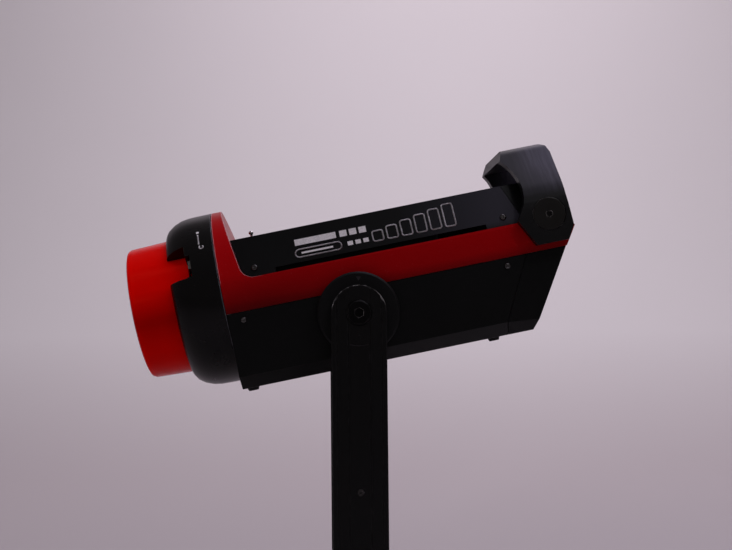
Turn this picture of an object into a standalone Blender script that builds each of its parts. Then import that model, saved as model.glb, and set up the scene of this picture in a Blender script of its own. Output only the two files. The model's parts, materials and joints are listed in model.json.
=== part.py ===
"""Point-source studio light head on a stand yoke, with its red protective cap on.

The lamp head tilts between two yoke arms.  World frame: metres, +Z up, the
stand socket's mouth at the origin, the lens facing -X, the lamp's left side
facing -Y.  Lamp frame (the `lamp_frame` empty): origin on the tilt axis, +X to
the rear of the lamp, +Z to its top.  Optical frame (the `optical_frame` empty):
+Z forward along the beam, +X to the lamp's top, on the beam's centre line.
"""

import math

import bmesh
import bpy
from mathutils import Matrix, Vector

MM = 0.001
GAP = 0.3 * MM

# Overall layout
PIVOT_HEIGHT = 285 * MM
TILT = math.radians(11.05)
BEAM_HEIGHT = 36.3 * MM

# Housing section, seen along the beam
SIDE_Y = 70 * MM
FLOOR_Z = -42 * MM
FLOOR_HALF_WIDTH = 58 * MM
CHAMFER_Z = -31.5 * MM
BAND_LOW_Z = 19.8 * MM
BAND_HIGH_Z = 45.2 * MM
ROOF_Z = 78.5 * MM
ROOF_HALF_WIDTH = 58.5 * MM
SKIN = 2.0 * MM
LEAN = math.atan2(SIDE_Y - ROOF_HALF_WIDTH, ROOF_Z - BAND_HIGH_Z)

# Housing length, measured along the lamp frame's X
SEAM_X = -104 * MM
PANEL_END_X = 117 * MM
PANEL_END_SLOPE = 0.51
COVER_END_X = 147 * MM
COVER_END_SLOPE = -0.36
APEX = (186.3 * MM, 35 * MM)
REAR_LOW_SLOPE = 34 / 54.7
REAR_FLOOR_SLOPE = 0.66
REAR_HIGH_SLOPE = -32.3 / 43.5
REAR_TAPER = 0.09
ROOF_TAPER = 0.2

# Front mount
RING_RADIUS = 72.6 * MM
HOUSING_TUBE_INNER = 68.5 * MM
MOUNT_CAVITY_RADIUS = 58.2 * MM
MOUNT_THROAT_RADIUS = 50 * MM
RING_BACK = 104.3 * MM
RING_FRONT = 144.8 * MM
PLATE_BACK = 118.4 * MM
PLATE_FRONT = 121.4 * MM
GROOVE_INNER = 60 * MM
GROOVE_OUTER = 69 * MM
GROOVE_FRONT = 122.6 * MM
LUG_COUNT = 3
LUG_ANGLE = 34
LUG_SLOT_ANGLE = 42
LUG_TURN = 55

# Release catch, angles in degrees above the left-hand horizontal
NOTCH_START = 15
NOTCH_END = 39
NOTCH_STEP_END = 31
NOTCH_BACK = 128.6 * MM
NOTCH_STEP_BACK = 124.5 * MM
TAB_START = 22.8
TAB_END = 29
PIN_ANGLE = 152
PIN_RING_RADIUS = 53.4 * MM
PIN_RADIUS = 1.5 * MM

# Cap
CAP_FRONT = 180.1 * MM
CAP_RADIUS = 55.5 * MM
CAP_REAR_RADIUS = 57.6 * MM
CAP_WALL = 2.2 * MM
CAP_FLANGE = 128.5 * MM
NECK_RADIUS = 45.4 * MM

# Yoke
ARM_WIDTH = 43.7 * MM
ARM_INNER_Y = 84.3 * MM
ARM_OUTER_Y = 93.7 * MM
BASE_TOP = PIVOT_HEIGHT - 216 * MM
BASE_THICKNESS = 12 * MM
GROOVE_X = (8.6 * MM, 17.6 * MM)
GROOVE_SIZE = 0.9 * MM
HUB_RADIUS = 33 * MM
HUB_BOSS_RADIUS = 19 * MM
HUB_OUTER_Y = 84 * MM

# Stand receiver
RECEIVER_RADIUS = 17 * MM
SOCKET_RADIUS = 8.1 * MM
SOCKET_DEPTH = 44 * MM
LOCK_HEIGHT = 21 * MM
CENTRE_HOLE_RADIUS = 4.4 * MM
KNOB_FLUTES = 6

# Handle
HANDLE_MID_Y = 77.5 * MM
HANDLE_THICKNESS = 9 * MM
HANDLE_KINK_Z = 61.2 * MM
HANDLE_TOP_Z = 103.8 * MM
HANDLE_TOP_Y = 45.6 * MM
HANDLE_SIDE_BEND = 38 * MM
HANDLE_TOP_BEND = 9 * MM
HANDLE_BOLT = (165.9 * MM, 47.2 * MM)

# Cooler
FAN_X = 98.5 * MM
FAN_Z = 18 * MM
FAN_SIZE = 92 * MM
FAN_DEPTH = 25 * MM
BLADES = 7
FINS = 13
FIN_PITCH = 8 * MM

UPWARD = (0, 0, 0)
REARWARD = (0, math.radians(90), 0)
LEFTWARD = (math.radians(90), 0, 0)
RIGHTWARD = (math.radians(-90), 0, 0)
SIDE_VIEW = (math.radians(90), 0, 0)
END_VIEW = (math.radians(90), 0, math.radians(90))

COLOURS = {
    "black_paint": ((0.018, 0.018, 0.02), 0.45, 0.0),
    "red_paint": ((0.35, 0.004, 0.006), 0.35, 0.0),
    "red_cap": ((0.55, 0.01, 0.008), 0.15, 0.0),
    "black_anodised": ((0.02, 0.02, 0.022), 0.35, 0.8),
    "black_plastic": ((0.02, 0.02, 0.02), 0.55, 0.0),
    "bare_aluminium": ((0.75, 0.75, 0.76), 0.4, 1.0),
    "steel": ((0.6, 0.6, 0.6), 0.25, 1.0),
    "black_steel": ((0.03, 0.03, 0.03), 0.3, 0.9),
    "copper": ((0.72, 0.38, 0.24), 0.35, 1.0),
    "phosphor": ((0.9, 0.72, 0.1), 0.5, 0.0),
    "circuit_board": ((0.02, 0.16, 0.07), 0.45, 0.0),
    "clear_glass": ((0.9, 0.95, 0.95), 0.05, 0.0),
    "rubber": ((0.015, 0.015, 0.015), 0.8, 0.0),
}


# ---------------------------------------------------------------- helpers

def mm(*points):
    """Points given in millimetres, as metres."""
    return [tuple(value * MM for value in point) for point in points]


def make_collection(name):
    collection = bpy.data.collections.new(name)
    bpy.context.scene.collection.children.link(collection)
    return collection


def make_material(name):
    colour, roughness, metallic = COLOURS[name]
    material = bpy.data.materials.new(name)
    material.use_nodes = True
    shader = material.node_tree.nodes["Principled BSDF"]
    shader.inputs["Base Color"].default_value = (*colour, 1.0)
    shader.inputs["Roughness"].default_value = roughness
    shader.inputs["Metallic"].default_value = metallic
    return material


def make_frame(name, parent=None, location=(0, 0, 0), rotation=(0, 0, 0)):
    frame = bpy.data.objects.new(name, None)
    frame.empty_display_size = 20 * MM
    PARTS.objects.link(frame)
    return place(frame, parent, location, rotation)


def place(obj, parent, location, rotation):
    obj.parent = parent
    obj.location = location
    obj.rotation_euler = rotation
    return obj


def make_part(name, mesh, material, parent=None, location=(0, 0, 0), rotation=(0, 0, 0)):
    obj = bpy.data.objects.new(name, mesh)
    obj.data.materials.append(MATERIALS[material])
    PARTS.objects.link(obj)
    return place(obj, parent, location, rotation)


def make_tool(name, mesh, parent=None, location=(0, 0, 0), rotation=(0, 0, 0)):
    """A shape that only cuts, joins or trims other shapes."""
    obj = bpy.data.objects.new(name, mesh)
    obj.hide_render = True
    obj.display_type = 'WIRE'
    TOOLS.objects.link(obj)
    return place(obj, parent, location, rotation)


def combine(target, tool, operation='DIFFERENCE'):
    modifier = target.modifiers.new(tool.name, 'BOOLEAN')
    modifier.operation = operation
    modifier.solver = 'EXACT'
    modifier.object = tool
    return target


def mesh_from_bmesh(name, bm):
    mesh = bpy.data.meshes.new(name)
    bm.to_mesh(mesh)
    bm.free()
    return mesh


def box(name, size):
    bm = bmesh.new()
    bmesh.ops.create_cube(bm, size=1.0)
    bmesh.ops.scale(bm, vec=Vector(size), verts=bm.verts)
    return mesh_from_bmesh(name, bm)


def boxes(name, size, centres):
    """Several equal boxes in one mesh."""
    bm = bmesh.new()
    for centre in centres:
        matrix = Matrix.Translation(centre) @ Matrix.Diagonal((*size, 1.0))
        bmesh.ops.create_cube(bm, size=1.0, matrix=matrix)
    return mesh_from_bmesh(name, bm)


def cylinder(name, radius, length, segments=24, top_radius=None):
    bm = bmesh.new()
    far_radius = radius if top_radius is None else top_radius
    bmesh.ops.create_cone(bm, cap_ends=True, segments=segments, radius1=radius,
                          radius2=far_radius, depth=length)
    mesh = mesh_from_bmesh(name, bm)
    mesh.shade_smooth()
    mesh.set_sharp_from_angle(angle=math.radians(35))
    return mesh


def cut_block(name, low, high, planes, inset=0.0):
    """A box trimmed by planes (point, outward normal), each moved in by inset."""
    bm = bmesh.new()
    low, high = Vector(low), Vector(high)
    centre = (low + high) / 2
    matrix = Matrix.Translation(centre) @ Matrix.Diagonal((*(high - low), 1.0))
    bmesh.ops.create_cube(bm, size=1.0, matrix=matrix)
    for point, normal in planes:
        normal = Vector(normal).normalized()
        point = Vector(point) - normal * inset
        geometry = bm.verts[:] + bm.edges[:] + bm.faces[:]
        cut = bmesh.ops.bisect_plane(bm, geom=geometry, plane_co=point, plane_no=normal,
                                     clear_outer=True, dist=1e-7)
        rim = [item for item in cut["geom_cut"] if isinstance(item, bmesh.types.BMEdge)]
        if rim:
            bmesh.ops.contextual_create(bm, geom=rim)
    bmesh.ops.recalc_face_normals(bm, faces=bm.faces)
    return mesh_from_bmesh(name, bm)


def profile_line(name, points, closed):
    """The edge that a Screw modifier turns; it runs down the outer side."""
    area = sum(a[0] * b[1] - b[0] * a[1] for a, b in zip(points, points[1:] + points[:1]))
    ordered = points if area < 0 else points[::-1]
    bm = bmesh.new()
    verts = [bm.verts.new((radius, 0, height)) for radius, height in ordered]
    for first, second in zip(verts, verts[1:]):
        bm.edges.new((first, second))
    if closed:
        bm.edges.new((verts[-1], verts[0]))
    return mesh_from_bmesh(name, bm)


def turn(obj, segments):
    modifier = obj.modifiers.new("turn", 'SCREW')
    modifier.axis = 'Z'
    modifier.angle = math.tau
    modifier.screw_offset = 0
    modifier.steps = segments
    modifier.render_steps = segments
    modifier.use_merge_vertices = True
    modifier.merge_threshold = 0.00001
    return obj


def turned_part(name, points, material, parent=None, location=(0, 0, 0), rotation=(0, 0, 0),
                segments=32, closed=False):
    """A solid of revolution about local Z; points are (radius, height)."""
    mesh = profile_line(name, points, closed)
    return turn(make_part(name, mesh, material, parent, location, rotation), segments)


def turned_tool(name, points, parent=None, location=(0, 0, 0), rotation=(0, 0, 0),
                segments=32, closed=False):
    mesh = profile_line(name, points, closed)
    return turn(make_tool(name, mesh, parent, location, rotation), segments)


def outline(name, loops, thickness):
    """A flat outline of given thickness, centred on its own plane.

    The curve is filled at a thousand times its size, where the fill keeps
    every short edge, and then brought back to size.
    """
    enlarge = 1000.0
    curve = bpy.data.curves.new(name, 'CURVE')
    curve.dimensions = '2D'
    curve.fill_mode = 'BOTH'
    curve.extrude = thickness * enlarge / 2
    for loop in loops:
        spline = curve.splines.new('POLY')
        spline.points.add(len(loop) - 1)
        for point, (x, y) in zip(spline.points, loop):
            point.co = (x * enlarge, y * enlarge, 0, 1)
        spline.use_cyclic_u = True
    return mesh_of_curve(name, curve, 1 / enlarge)


def mesh_of_curve(name, curve, scale=1.0):
    """The welded mesh of a curve, at the given scale."""
    holder = bpy.data.objects.new(name + "_curve", curve)
    TOOLS.objects.link(holder)
    depsgraph = bpy.context.evaluated_depsgraph_get()
    mesh = bpy.data.meshes.new_from_object(holder.evaluated_get(depsgraph))
    bpy.data.objects.remove(holder)
    bpy.data.curves.remove(curve)
    bm = bmesh.new()
    bm.from_mesh(mesh)
    bmesh.ops.remove_doubles(bm, verts=bm.verts, dist=0.000001 / scale)
    bmesh.ops.scale(bm, vec=(scale, scale, scale), verts=bm.verts)
    bmesh.ops.recalc_face_normals(bm, faces=bm.faces)
    bm.to_mesh(mesh)
    bm.free()
    return mesh


def wire(name, points, radius, sides=8):
    """A round wire or pipe through the points."""
    curve = bpy.data.curves.new(name, 'CURVE')
    curve.dimensions = '3D'
    curve.bevel_depth = radius
    curve.bevel_resolution = sides // 2 - 2
    curve.use_fill_caps = True
    spline = curve.splines.new('POLY')
    spline.points.add(len(points) - 1)
    for point, place_at in zip(spline.points, points):
        point.co = (*place_at, 1)
    return mesh_of_curve(name, curve)


def arc(centre, radius, start, end, steps):
    """Points on an arc, angles in degrees."""
    points = []
    for index in range(steps + 1):
        angle = math.radians(start + (end - start) * index / steps)
        points.append((centre[0] + radius * math.cos(angle), centre[1] + radius * math.sin(angle)))
    return points


def rounded(points, radii, steps=4, closed=True):
    """The outline with each corner of non-zero radius replaced by an arc."""
    result = []
    count = len(points)
    for index, corner in enumerate(points):
        radius = radii[index] if isinstance(radii, (list, tuple)) else radii
        is_end = not closed and index in (0, count - 1)
        corner = Vector(corner)
        if radius == 0 or is_end:
            result.append(tuple(corner))
            continue
        to_last = (Vector(points[index - 1]) - corner).normalized()
        to_next = (Vector(points[(index + 1) % count]) - corner).normalized()
        half = to_last.angle(to_next) / 2
        centre = corner + (to_last + to_next).normalized() * (radius / math.sin(half))
        first = corner + to_last * (radius / math.tan(half)) - centre
        last = corner + to_next * (radius / math.tan(half)) - centre
        for step in range(steps + 1):
            direction = first.lerp(last, step / steps).normalized()
            result.append(tuple(centre + direction * radius))
    return result


def around(angle, radius):
    """Optical frame: the point at an angle above the left-hand horizontal."""
    angle = math.radians(angle)
    return (radius * math.sin(angle), -radius * math.cos(angle))


def sector(name, inner, outer, start, end, depth, steps=6):
    """A block between two radii and two angles about the beam, centred on its plane."""
    angles = [start + (end - start) * index / steps for index in range(steps + 1)]
    loop = [around(angle, outer) for angle in angles]
    loop += [around(angle, inner) for angle in reversed(angles)]
    return outline(name, [loop], depth)


def shell(name, path, front, rear, thickness, material, parent):
    """A bent sheet from X = front to rear(z); seen from behind, its path (y, z) runs clockwise."""
    bm = bmesh.new()
    rows = []
    for y, z in path:
        rows.append((bm.verts.new((front, y, z)), bm.verts.new((rear(z), y, z))))
    for (a, b), (c, d) in zip(rows, rows[1:]):
        bm.faces.new((a, b, d, c))
    part = make_part(name, mesh_from_bmesh(name, bm), material, parent)
    solidify = part.modifiers.new("sheet", 'SOLIDIFY')
    solidify.thickness = thickness
    solidify.offset = -1.0
    solidify.use_even_offset = True
    return part


def hex_socket(name, across, depth, parent, location, rotation):
    """A hexagonal recess, its mouth at the location, facing local +Z."""
    mesh = cylinder(name, across / math.sqrt(3), 2 * depth, 6)
    return make_tool(name, mesh, parent, location, rotation)


def lean_y(z, inset=0.0):
    """Half width of the leaning top cover at a height."""
    return SIDE_Y - (z - BAND_HIGH_Z) * math.tan(LEAN) - inset


def cover_end(z):
    """Where the top cover ends, at a height."""
    return COVER_END_X + (z - BAND_HIGH_Z) * COVER_END_SLOPE


def panel_end(z):
    """Where the lower side panels end, at a height."""
    return PANEL_END_X + max(0.0, z - CHAMFER_Z) * PANEL_END_SLOPE


# ---------------------------------------------------------------- yoke

def build_yoke():
    foot = BASE_TOP - BASE_THICKNESS
    for side, label in ((-1, "left"), (1, "right")):
        build_arm(side, label, foot)
    base_size = (ARM_WIDTH, 2 * ARM_INNER_Y - 2 * GAP, BASE_THICKNESS)
    base = make_part("yoke_base", box("yoke_base", base_size), "black_anodised", None,
                     (0, 0, BASE_TOP - BASE_THICKNESS / 2))
    bore = cylinder("base_bolt_hole", CENTRE_HOLE_RADIUS, 40 * MM, 16)
    combine(base, make_tool("base_bolt_hole", bore, None, (0, 0, BASE_TOP)))
    screw_z = foot + BASE_THICKNESS / 2
    for side, label in ((-1, "left"), (1, "right")):
        for x, position in ((-12 * MM, "front"), (12 * MM, "rear")):
            build_arm_screw(side, label, position, x, screw_z, base)


def build_arm(side, label, foot):
    """An extruded bar with long grooves on its outer face and a round top."""
    half = ARM_WIDTH / 2
    depth = ARM_OUTER_Y - ARM_INNER_Y
    face = [(-half, 0), (half, 0)]
    edge = []
    for x in (GROOVE_X[1], GROOVE_X[0], -GROOVE_X[0], -GROOVE_X[1]):
        edge += [(x + GROOVE_SIZE / 2, depth), (x + GROOVE_SIZE / 2, depth - GROOVE_SIZE),
                 (x - GROOVE_SIZE / 2, depth - GROOVE_SIZE), (x - GROOVE_SIZE / 2, depth)]
    chamfer = 0.8 * MM
    face += [(half, depth - chamfer), (half - chamfer, depth)] + edge
    face += [(-half + chamfer, depth), (-half, depth - chamfer)]
    section = [(x, side * (ARM_INNER_Y + y)) for x, y in face]
    length = PIVOT_HEIGHT + half - foot
    arm = make_part("yoke_arm_" + label, outline("yoke_arm_" + label, [section], length),
                    "black_anodised", None, (0, 0, foot + length / 2))
    low = foot - PIVOT_HEIGHT
    stadium = [(half, low), *arc((0, 0), half, 0, 180, 14), (-half, low)]
    trim = make_tool("arm_top_" + label, outline("arm_top_" + label, [stadium], 40 * MM), None,
                     (0, side * ARM_INNER_Y, PIVOT_HEIGHT), SIDE_VIEW)
    combine(arm, trim, 'INTERSECT')
    outward = LEFTWARD if side < 0 else RIGHTWARD
    bore = mm((0, 20), (10.5, 20), (10.5, -5.5), (5.3, -5.5), (5.3, -20), (0, -20))
    at = (0, side * ARM_OUTER_Y, PIVOT_HEIGHT)
    combine(arm, turned_tool("arm_hole_" + label, bore, None, at, outward, 32))
    setscrew_z = PIVOT_HEIGHT - 140.5 * MM
    setscrew_y = side * (ARM_OUTER_Y - 2.3 * MM)
    recess = cylinder("arm_setscrew_hole_" + label, 2.8 * MM, 12 * MM, 16)
    at = (0, side * ARM_OUTER_Y, setscrew_z)
    combine(arm, make_tool("arm_setscrew_hole_" + label, recess, None, at, outward))
    body = cylinder("arm_setscrew_" + label, 2.5 * MM, 4 * MM, 16)
    place = (0, setscrew_y, setscrew_z)
    screw = make_part("arm_setscrew_" + label, body, "black_steel", None, place, outward)
    socket = hex_socket("setscrew_socket_" + label, 2.5 * MM, 1.6 * MM, None,
                        (0, side * (ARM_OUTER_Y - 0.3 * MM), setscrew_z), outward)
    combine(screw, socket)


def build_arm_screw(side, label, position, x, z, base):
    """A countersunk screw through an arm's foot into the end of the base."""
    name = "arm_screw_" + label + "_" + position
    outward = LEFTWARD if side < 0 else RIGHTWARD
    at = (x, side * ARM_OUTER_Y, z)
    bore = mm((0, 2), (5.2, 2), (5.2, -4.3), (3.3, -4.3), (3.3, -24), (0, -24))
    hole = turned_tool(name + "_hole", bore, None, at, outward, 16)
    combine(bpy.data.objects["yoke_arm_" + label], hole)
    combine(base, hole)
    shape = mm((0, -0.2), (4.4, -0.2), (4.8, -0.6), (4.8, -4), (3, -4), (3, -22), (0, -22))
    screw = turned_part(name, shape, "black_steel", None, at, outward, 16)
    combine(screw, hex_socket(name + "_socket", 4 * MM, 2.5 * MM, None, at, outward))


def build_receiver():
    """The socket that drops onto a stand's spigot, and its locking knob."""
    top = BASE_TOP - BASE_THICKNESS - GAP
    bolt_end = top - 9 * MM
    profile = [(0, bolt_end), (CENTRE_HOLE_RADIUS, bolt_end), (CENTRE_HOLE_RADIUS, top),
               (RECEIVER_RADIUS, top), (RECEIVER_RADIUS, 2 * MM), (RECEIVER_RADIUS - 2 * MM, 0),
               (SOCKET_RADIUS, 0), (SOCKET_RADIUS, SOCKET_DEPTH), (0, SOCKET_DEPTH)]
    receiver = turned_part("stand_receiver", profile, "black_anodised", segments=32)
    side_hole = cylinder("receiver_side_hole", 4.3 * MM, 30 * MM, 16)
    combine(receiver, make_tool("receiver_side_hole", side_hole, None, (20 * MM, 0, LOCK_HEIGHT), REARWARD))
    shape = mm((0, 8), (6.5, 8), (6.5, 0.3), (4, 0.3), (4, -20), (0, -20))
    bolt = turned_part("receiver_bolt", shape, "black_steel", None, (0, 0, BASE_TOP), UPWARD, 20)
    combine(bolt, hex_socket("receiver_bolt_socket", 6 * MM, 4 * MM, None, (0, 0, BASE_TOP + 8 * MM), UPWARD))
    at = (0, 0, LOCK_HEIGHT)
    shape = mm((0, 44), (4, 44), (4, 9.6), (3, 8.6), (0, 8.6))
    turned_part("stand_lock_screw", shape, "steel", None, at, REARWARD, 20)
    shape = mm((0, 56), (13, 56), (15.5, 54), (16, 50), (16, 38), (9, 34), (9, 30), (4.3, 30), (4.3, 44.4),
               (0, 44.4))
    knob = turned_part("stand_lock_knob", shape, "black_plastic", None, at, REARWARD, 24)
    for index in range(KNOB_FLUTES):
        combine(knob, make_flute(index, at))


def make_flute(index, at):
    """One finger hollow of the knob's rim."""
    angle = math.tau * index / KNOB_FLUTES
    name = "knob_flute_%d" % index
    mesh = cylinder(name, 5 * MM, 30 * MM, 10)
    reach = 18.5 * MM
    mesh.transform(Matrix.Translation((reach * math.cos(angle), reach * math.sin(angle), 51 * MM)))
    return make_tool(name, mesh, None, at, REARWARD)


def build_pivots():
    """The plain pivot screw on the left and the locking lever on the right."""
    at_left = (0, -ARM_OUTER_Y, PIVOT_HEIGHT)
    shape = mm((0, 1.3), (8.9, 1.3), (9.9, 0.5), (9.9, -5.2), (5, -5.2), (5, -19.5), (0, -19.5))
    screw = turned_part("pivot_screw_left", shape, "black_steel", None, at_left, LEFTWARD, 32)
    mouth = (0, -ARM_OUTER_Y - 1.3 * MM, PIVOT_HEIGHT)
    combine(screw, hex_socket("pivot_socket", 7 * MM, 4 * MM, None, mouth, LEFTWARD))
    at_right = (0, ARM_OUTER_Y, PIVOT_HEIGHT)
    shape = mm((0, 14), (5, 14), (5, -19.5), (0, -19.5))
    turned_part("tilt_lock_shaft", shape, "steel", None, at_right, RIGHTWARD, 20)
    shape = mm((0, 14.4), (5.3, 14.4), (5.3, 1), (15, 1), (15.5, 3), (14, 18), (12, 20), (0, 20))
    lever = turned_part("tilt_lock_lever", shape, "black_plastic", None, at_right, RIGHTWARD, 32)
    grip_loop = rounded(mm((-8, 0), (8, 0), (6.5, 62), (-6.5, 62)), [0, 0, 6 * MM, 6 * MM], 4)
    grip = make_tool("lever_grip", outline("lever_grip", [grip_loop], 9 * MM), None,
                     (0, ARM_OUTER_Y + 14.5 * MM, PIVOT_HEIGHT), RIGHTWARD)
    bore = cylinder("lever_grip_bore", 5.3 * MM, 13.4 * MM, 32)
    at = (0, ARM_OUTER_Y + 7.7 * MM, PIVOT_HEIGHT)
    combine(grip, make_tool("lever_grip_bore", bore, None, at, RIGHTWARD))
    combine(lever, grip, 'UNION')
    for side, label in ((-1, "left"), (1, "right")):
        outward = LEFTWARD if side < 0 else RIGHTWARD
        inner = SIDE_Y + GAP
        proud = RING_RADIUS + GAP
        bore = 5.3 * MM
        rim = 1.5 * MM
        hub = [(bore, HUB_OUTER_Y), (HUB_RADIUS - rim, HUB_OUTER_Y), (HUB_RADIUS, HUB_OUTER_Y - rim),
               (HUB_RADIUS, proud), (HUB_BOSS_RADIUS, proud), (HUB_BOSS_RADIUS, inner), (bore, inner)]
        turned_part("tilt_hub_" + label, hub, "black_anodised", LAMP, (0, 0, 0), outward, 36, closed=True)


# ---------------------------------------------------------------- housing

def shoulder_region(margin):
    """Side outline of everything behind the collar and above the red band."""
    top = (-96.4 * MM + margin, 112 * MM)
    low_z = BAND_HIGH_Z + margin
    corner = (-84.6 * MM + margin, low_z)
    far = 215 * MM
    return rounded([top, corner, (far, low_z), (far, 112 * MM)], [0, 11 * MM - margin, 0, 0], 6)


def rear_planes():
    """The planes that trim the tail of the housing, symmetric in Y."""
    apex_x, apex_z = APEX
    low_x = apex_x - (apex_z - CHAMFER_Z) * REAR_LOW_SLOPE
    planes = [((apex_x, 0, apex_z), (1, 0, -REAR_LOW_SLOPE)),
              ((apex_x, 0, apex_z), (1, 0, -REAR_HIGH_SLOPE)),
              ((low_x, 0, CHAMFER_Z), (1, 0, -REAR_FLOOR_SLOPE)),
              ((0, 0, FLOOR_Z), (0, 0, -1)),
              ((0, 0, ROOF_Z), (0, 0, 1))]
    for side in (-1, 1):
        chamfer = (0, side * (SIDE_Y + GAP), CHAMFER_Z)
        rise = SIDE_Y - FLOOR_HALF_WIDTH
        run = CHAMFER_Z - FLOOR_Z
        planes.append((chamfer, (0, side * run, -rise)))
        planes.append(((0, side * SIDE_Y, BAND_HIGH_Z), (0, side * math.cos(LEAN), math.sin(LEAN))))
        planes.append(((PANEL_END_X, side * SIDE_Y, CHAMFER_Z),
                       (REAR_TAPER, side, -REAR_TAPER * PANEL_END_SLOPE)))
        cover_edge = Vector((COVER_END_SLOPE, -side * math.tan(LEAN), 1))
        inward = Vector((1, -side * ROOF_TAPER, 0))
        outward = cover_edge.cross(inward) * side
        planes.append(((COVER_END_X, side * SIDE_Y, BAND_HIGH_Z), outward))
    return planes


def build_red_housing():
    """Collar behind the mount ring and the two side bands, one curved piece."""
    front = -SEAM_X - GAP
    back = -190 * MM
    tube = [(HOUSING_TUBE_INNER, front), (RING_RADIUS, front), (RING_RADIUS, back),
            (HOUSING_TUBE_INNER, back)]
    housing = turned_part("red_housing", tube, "red_paint", OPTICAL, segments=72, closed=True)
    brow_base = ROOF_Z + GAP
    brow_depth = 24 * MM
    brow_radius = HOUSING_TUBE_INNER + 1 * MM
    half_angle = math.degrees(math.acos((brow_base - BEAM_HEIGHT) / brow_radius))
    brow_loop = arc((0, BEAM_HEIGHT), brow_radius, 90 - half_angle, 90 + half_angle, 16)
    brow = make_tool("collar_brow", outline("collar_brow", [brow_loop], brow_depth), LAMP,
                     (-front + brow_depth / 2, 0, 0), END_VIEW)
    combine(housing, brow, 'UNION')
    below = make_tool("below_band", box("below_band", (400 * MM, 200 * MM, 100 * MM)), LAMP,
                      (50 * MM, 0, BAND_LOW_Z - 50 * MM))
    combine(housing, below)
    behind = outline("behind_collar", [shoulder_region(0)], 200 * MM)
    combine(housing, make_tool("behind_collar", behind, LAMP, (0, 0, 0), SIDE_VIEW))
    apex_x, apex_z = APEX
    tail_low = apex_x - (apex_z - BAND_LOW_Z) * REAR_LOW_SLOPE
    tail_high = apex_x + (BAND_HIGH_Z - apex_z) * REAR_HIGH_SLOPE
    margin = 1 * MM
    tail_loop = [(tail_low - margin, BAND_LOW_Z - margin), (tail_low, BAND_LOW_Z), (apex_x, apex_z),
                 (tail_high, BAND_HIGH_Z), (tail_high, BAND_HIGH_Z + margin), (240 * MM, 80 * MM),
                 (240 * MM, 0)]
    tail = outline("band_tail", [tail_loop], 200 * MM)
    combine(housing, make_tool("band_tail", tail, LAMP, (0, 0, 0), SIDE_VIEW))
    for side, label in ((-1, "left"), (1, "right")):
        combine(housing, HANDLE_HOLES[label])
    return housing


def build_lower_tray():
    """Sides, chamfers and floor in one folded sheet."""
    top = BAND_LOW_Z - GAP
    path = [(SIDE_Y, top), (SIDE_Y, CHAMFER_Z), (FLOOR_HALF_WIDTH, FLOOR_Z), (-FLOOR_HALF_WIDTH, FLOOR_Z),
            (-SIDE_Y, CHAMFER_Z), (-SIDE_Y, top)]
    tray = shell("lower_tray", path, SEAM_X + GAP, panel_end, SKIN, "black_paint", LAMP)
    centres = [(x * MM, 0, FLOOR_Z) for x in range(-60, 61, 15)]
    vents = make_tool("floor_vents", boxes("floor_vents", (5 * MM, 70 * MM, 10 * MM), centres), LAMP)
    combine(tray, vents)
    return tray


def build_top_cover():
    """Leaning sides and roof, with an air slot along each lower edge."""
    low = BAND_HIGH_Z + GAP
    path = [(-lean_y(low), low), (-ROOF_HALF_WIDTH, ROOF_Z), (ROOF_HALF_WIDTH, ROOF_Z), (lean_y(low), low)]
    cover = shell("top_cover", path, -95 * MM, cover_end, SKIN, "black_paint", LAMP)
    centres = [(x * MM, 0, ROOF_Z) for x in range(25, 110, 12)]
    vents = make_tool("roof_vents", boxes("roof_vents", (4 * MM, 76 * MM, 10 * MM), centres), LAMP)
    combine(cover, vents)
    cover_region = outline("cover_region", [shoulder_region(GAP)], 200 * MM)
    combine(cover, make_tool("cover_region", cover_region, LAMP, (0, 0, 0), SIDE_VIEW), 'INTERSECT')
    slot = box("cover_slots", (174 * MM, 200 * MM, 8 * MM))
    combine(cover, make_tool("cover_slots", slot, LAMP, (29 * MM, 0, low)))
    return cover


def build_rear_cover():
    """The tail casting: a hollow wedge, open at the front."""
    low = (100 * MM, -SIDE_Y, FLOOR_Z)
    high = (200 * MM, SIDE_Y, ROOF_Z)
    cover = make_part("rear_cover", cut_block("rear_cover", low, high, rear_planes()), "black_plastic", LAMP)
    wall = 2.5 * MM
    inner_low = (90 * MM, -SIDE_Y + wall, FLOOR_Z + wall)
    inner_high = (200 * MM, SIDE_Y - wall, ROOF_Z - wall)
    hollow = cut_block("rear_hollow", inner_low, inner_high, rear_planes(), wall)
    combine(cover, make_tool("rear_hollow", hollow, LAMP))
    shift = GAP * 1.2
    front_loop = [(80 * MM, -60 * MM), (PANEL_END_X + shift, -60 * MM), (PANEL_END_X + shift, CHAMFER_Z),
                  (panel_end(BAND_LOW_Z) + shift, BAND_LOW_Z), (COVER_END_X + shift, BAND_LOW_Z + 6 * MM),
                  (COVER_END_X + shift, BAND_HIGH_Z), (cover_end(100 * MM) + shift, 100 * MM),
                  (80 * MM, 100 * MM)]
    front = outline("rear_front_edge", [front_loop], 200 * MM)
    combine(cover, make_tool("rear_front_edge", front, LAMP, (0, 0, 0), SIDE_VIEW))
    band_middle = (BAND_LOW_Z + BAND_HIGH_Z) / 2
    band_height = BAND_HIGH_Z - BAND_LOW_Z + 2 * GAP
    inner_face = 65.9 * MM
    sides = boxes("rear_band_slots", (120 * MM, 20 * MM, band_height),
                  [(150 * MM, side * (inner_face + 10 * MM), band_middle) for side in (-1, 1)])
    combine(cover, make_tool("rear_band_slots", sides, LAMP))
    for side, label in ((-1, "left"), (1, "right")):
        combine(cover, HANDLE_HOLES[label])
    return cover


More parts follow.
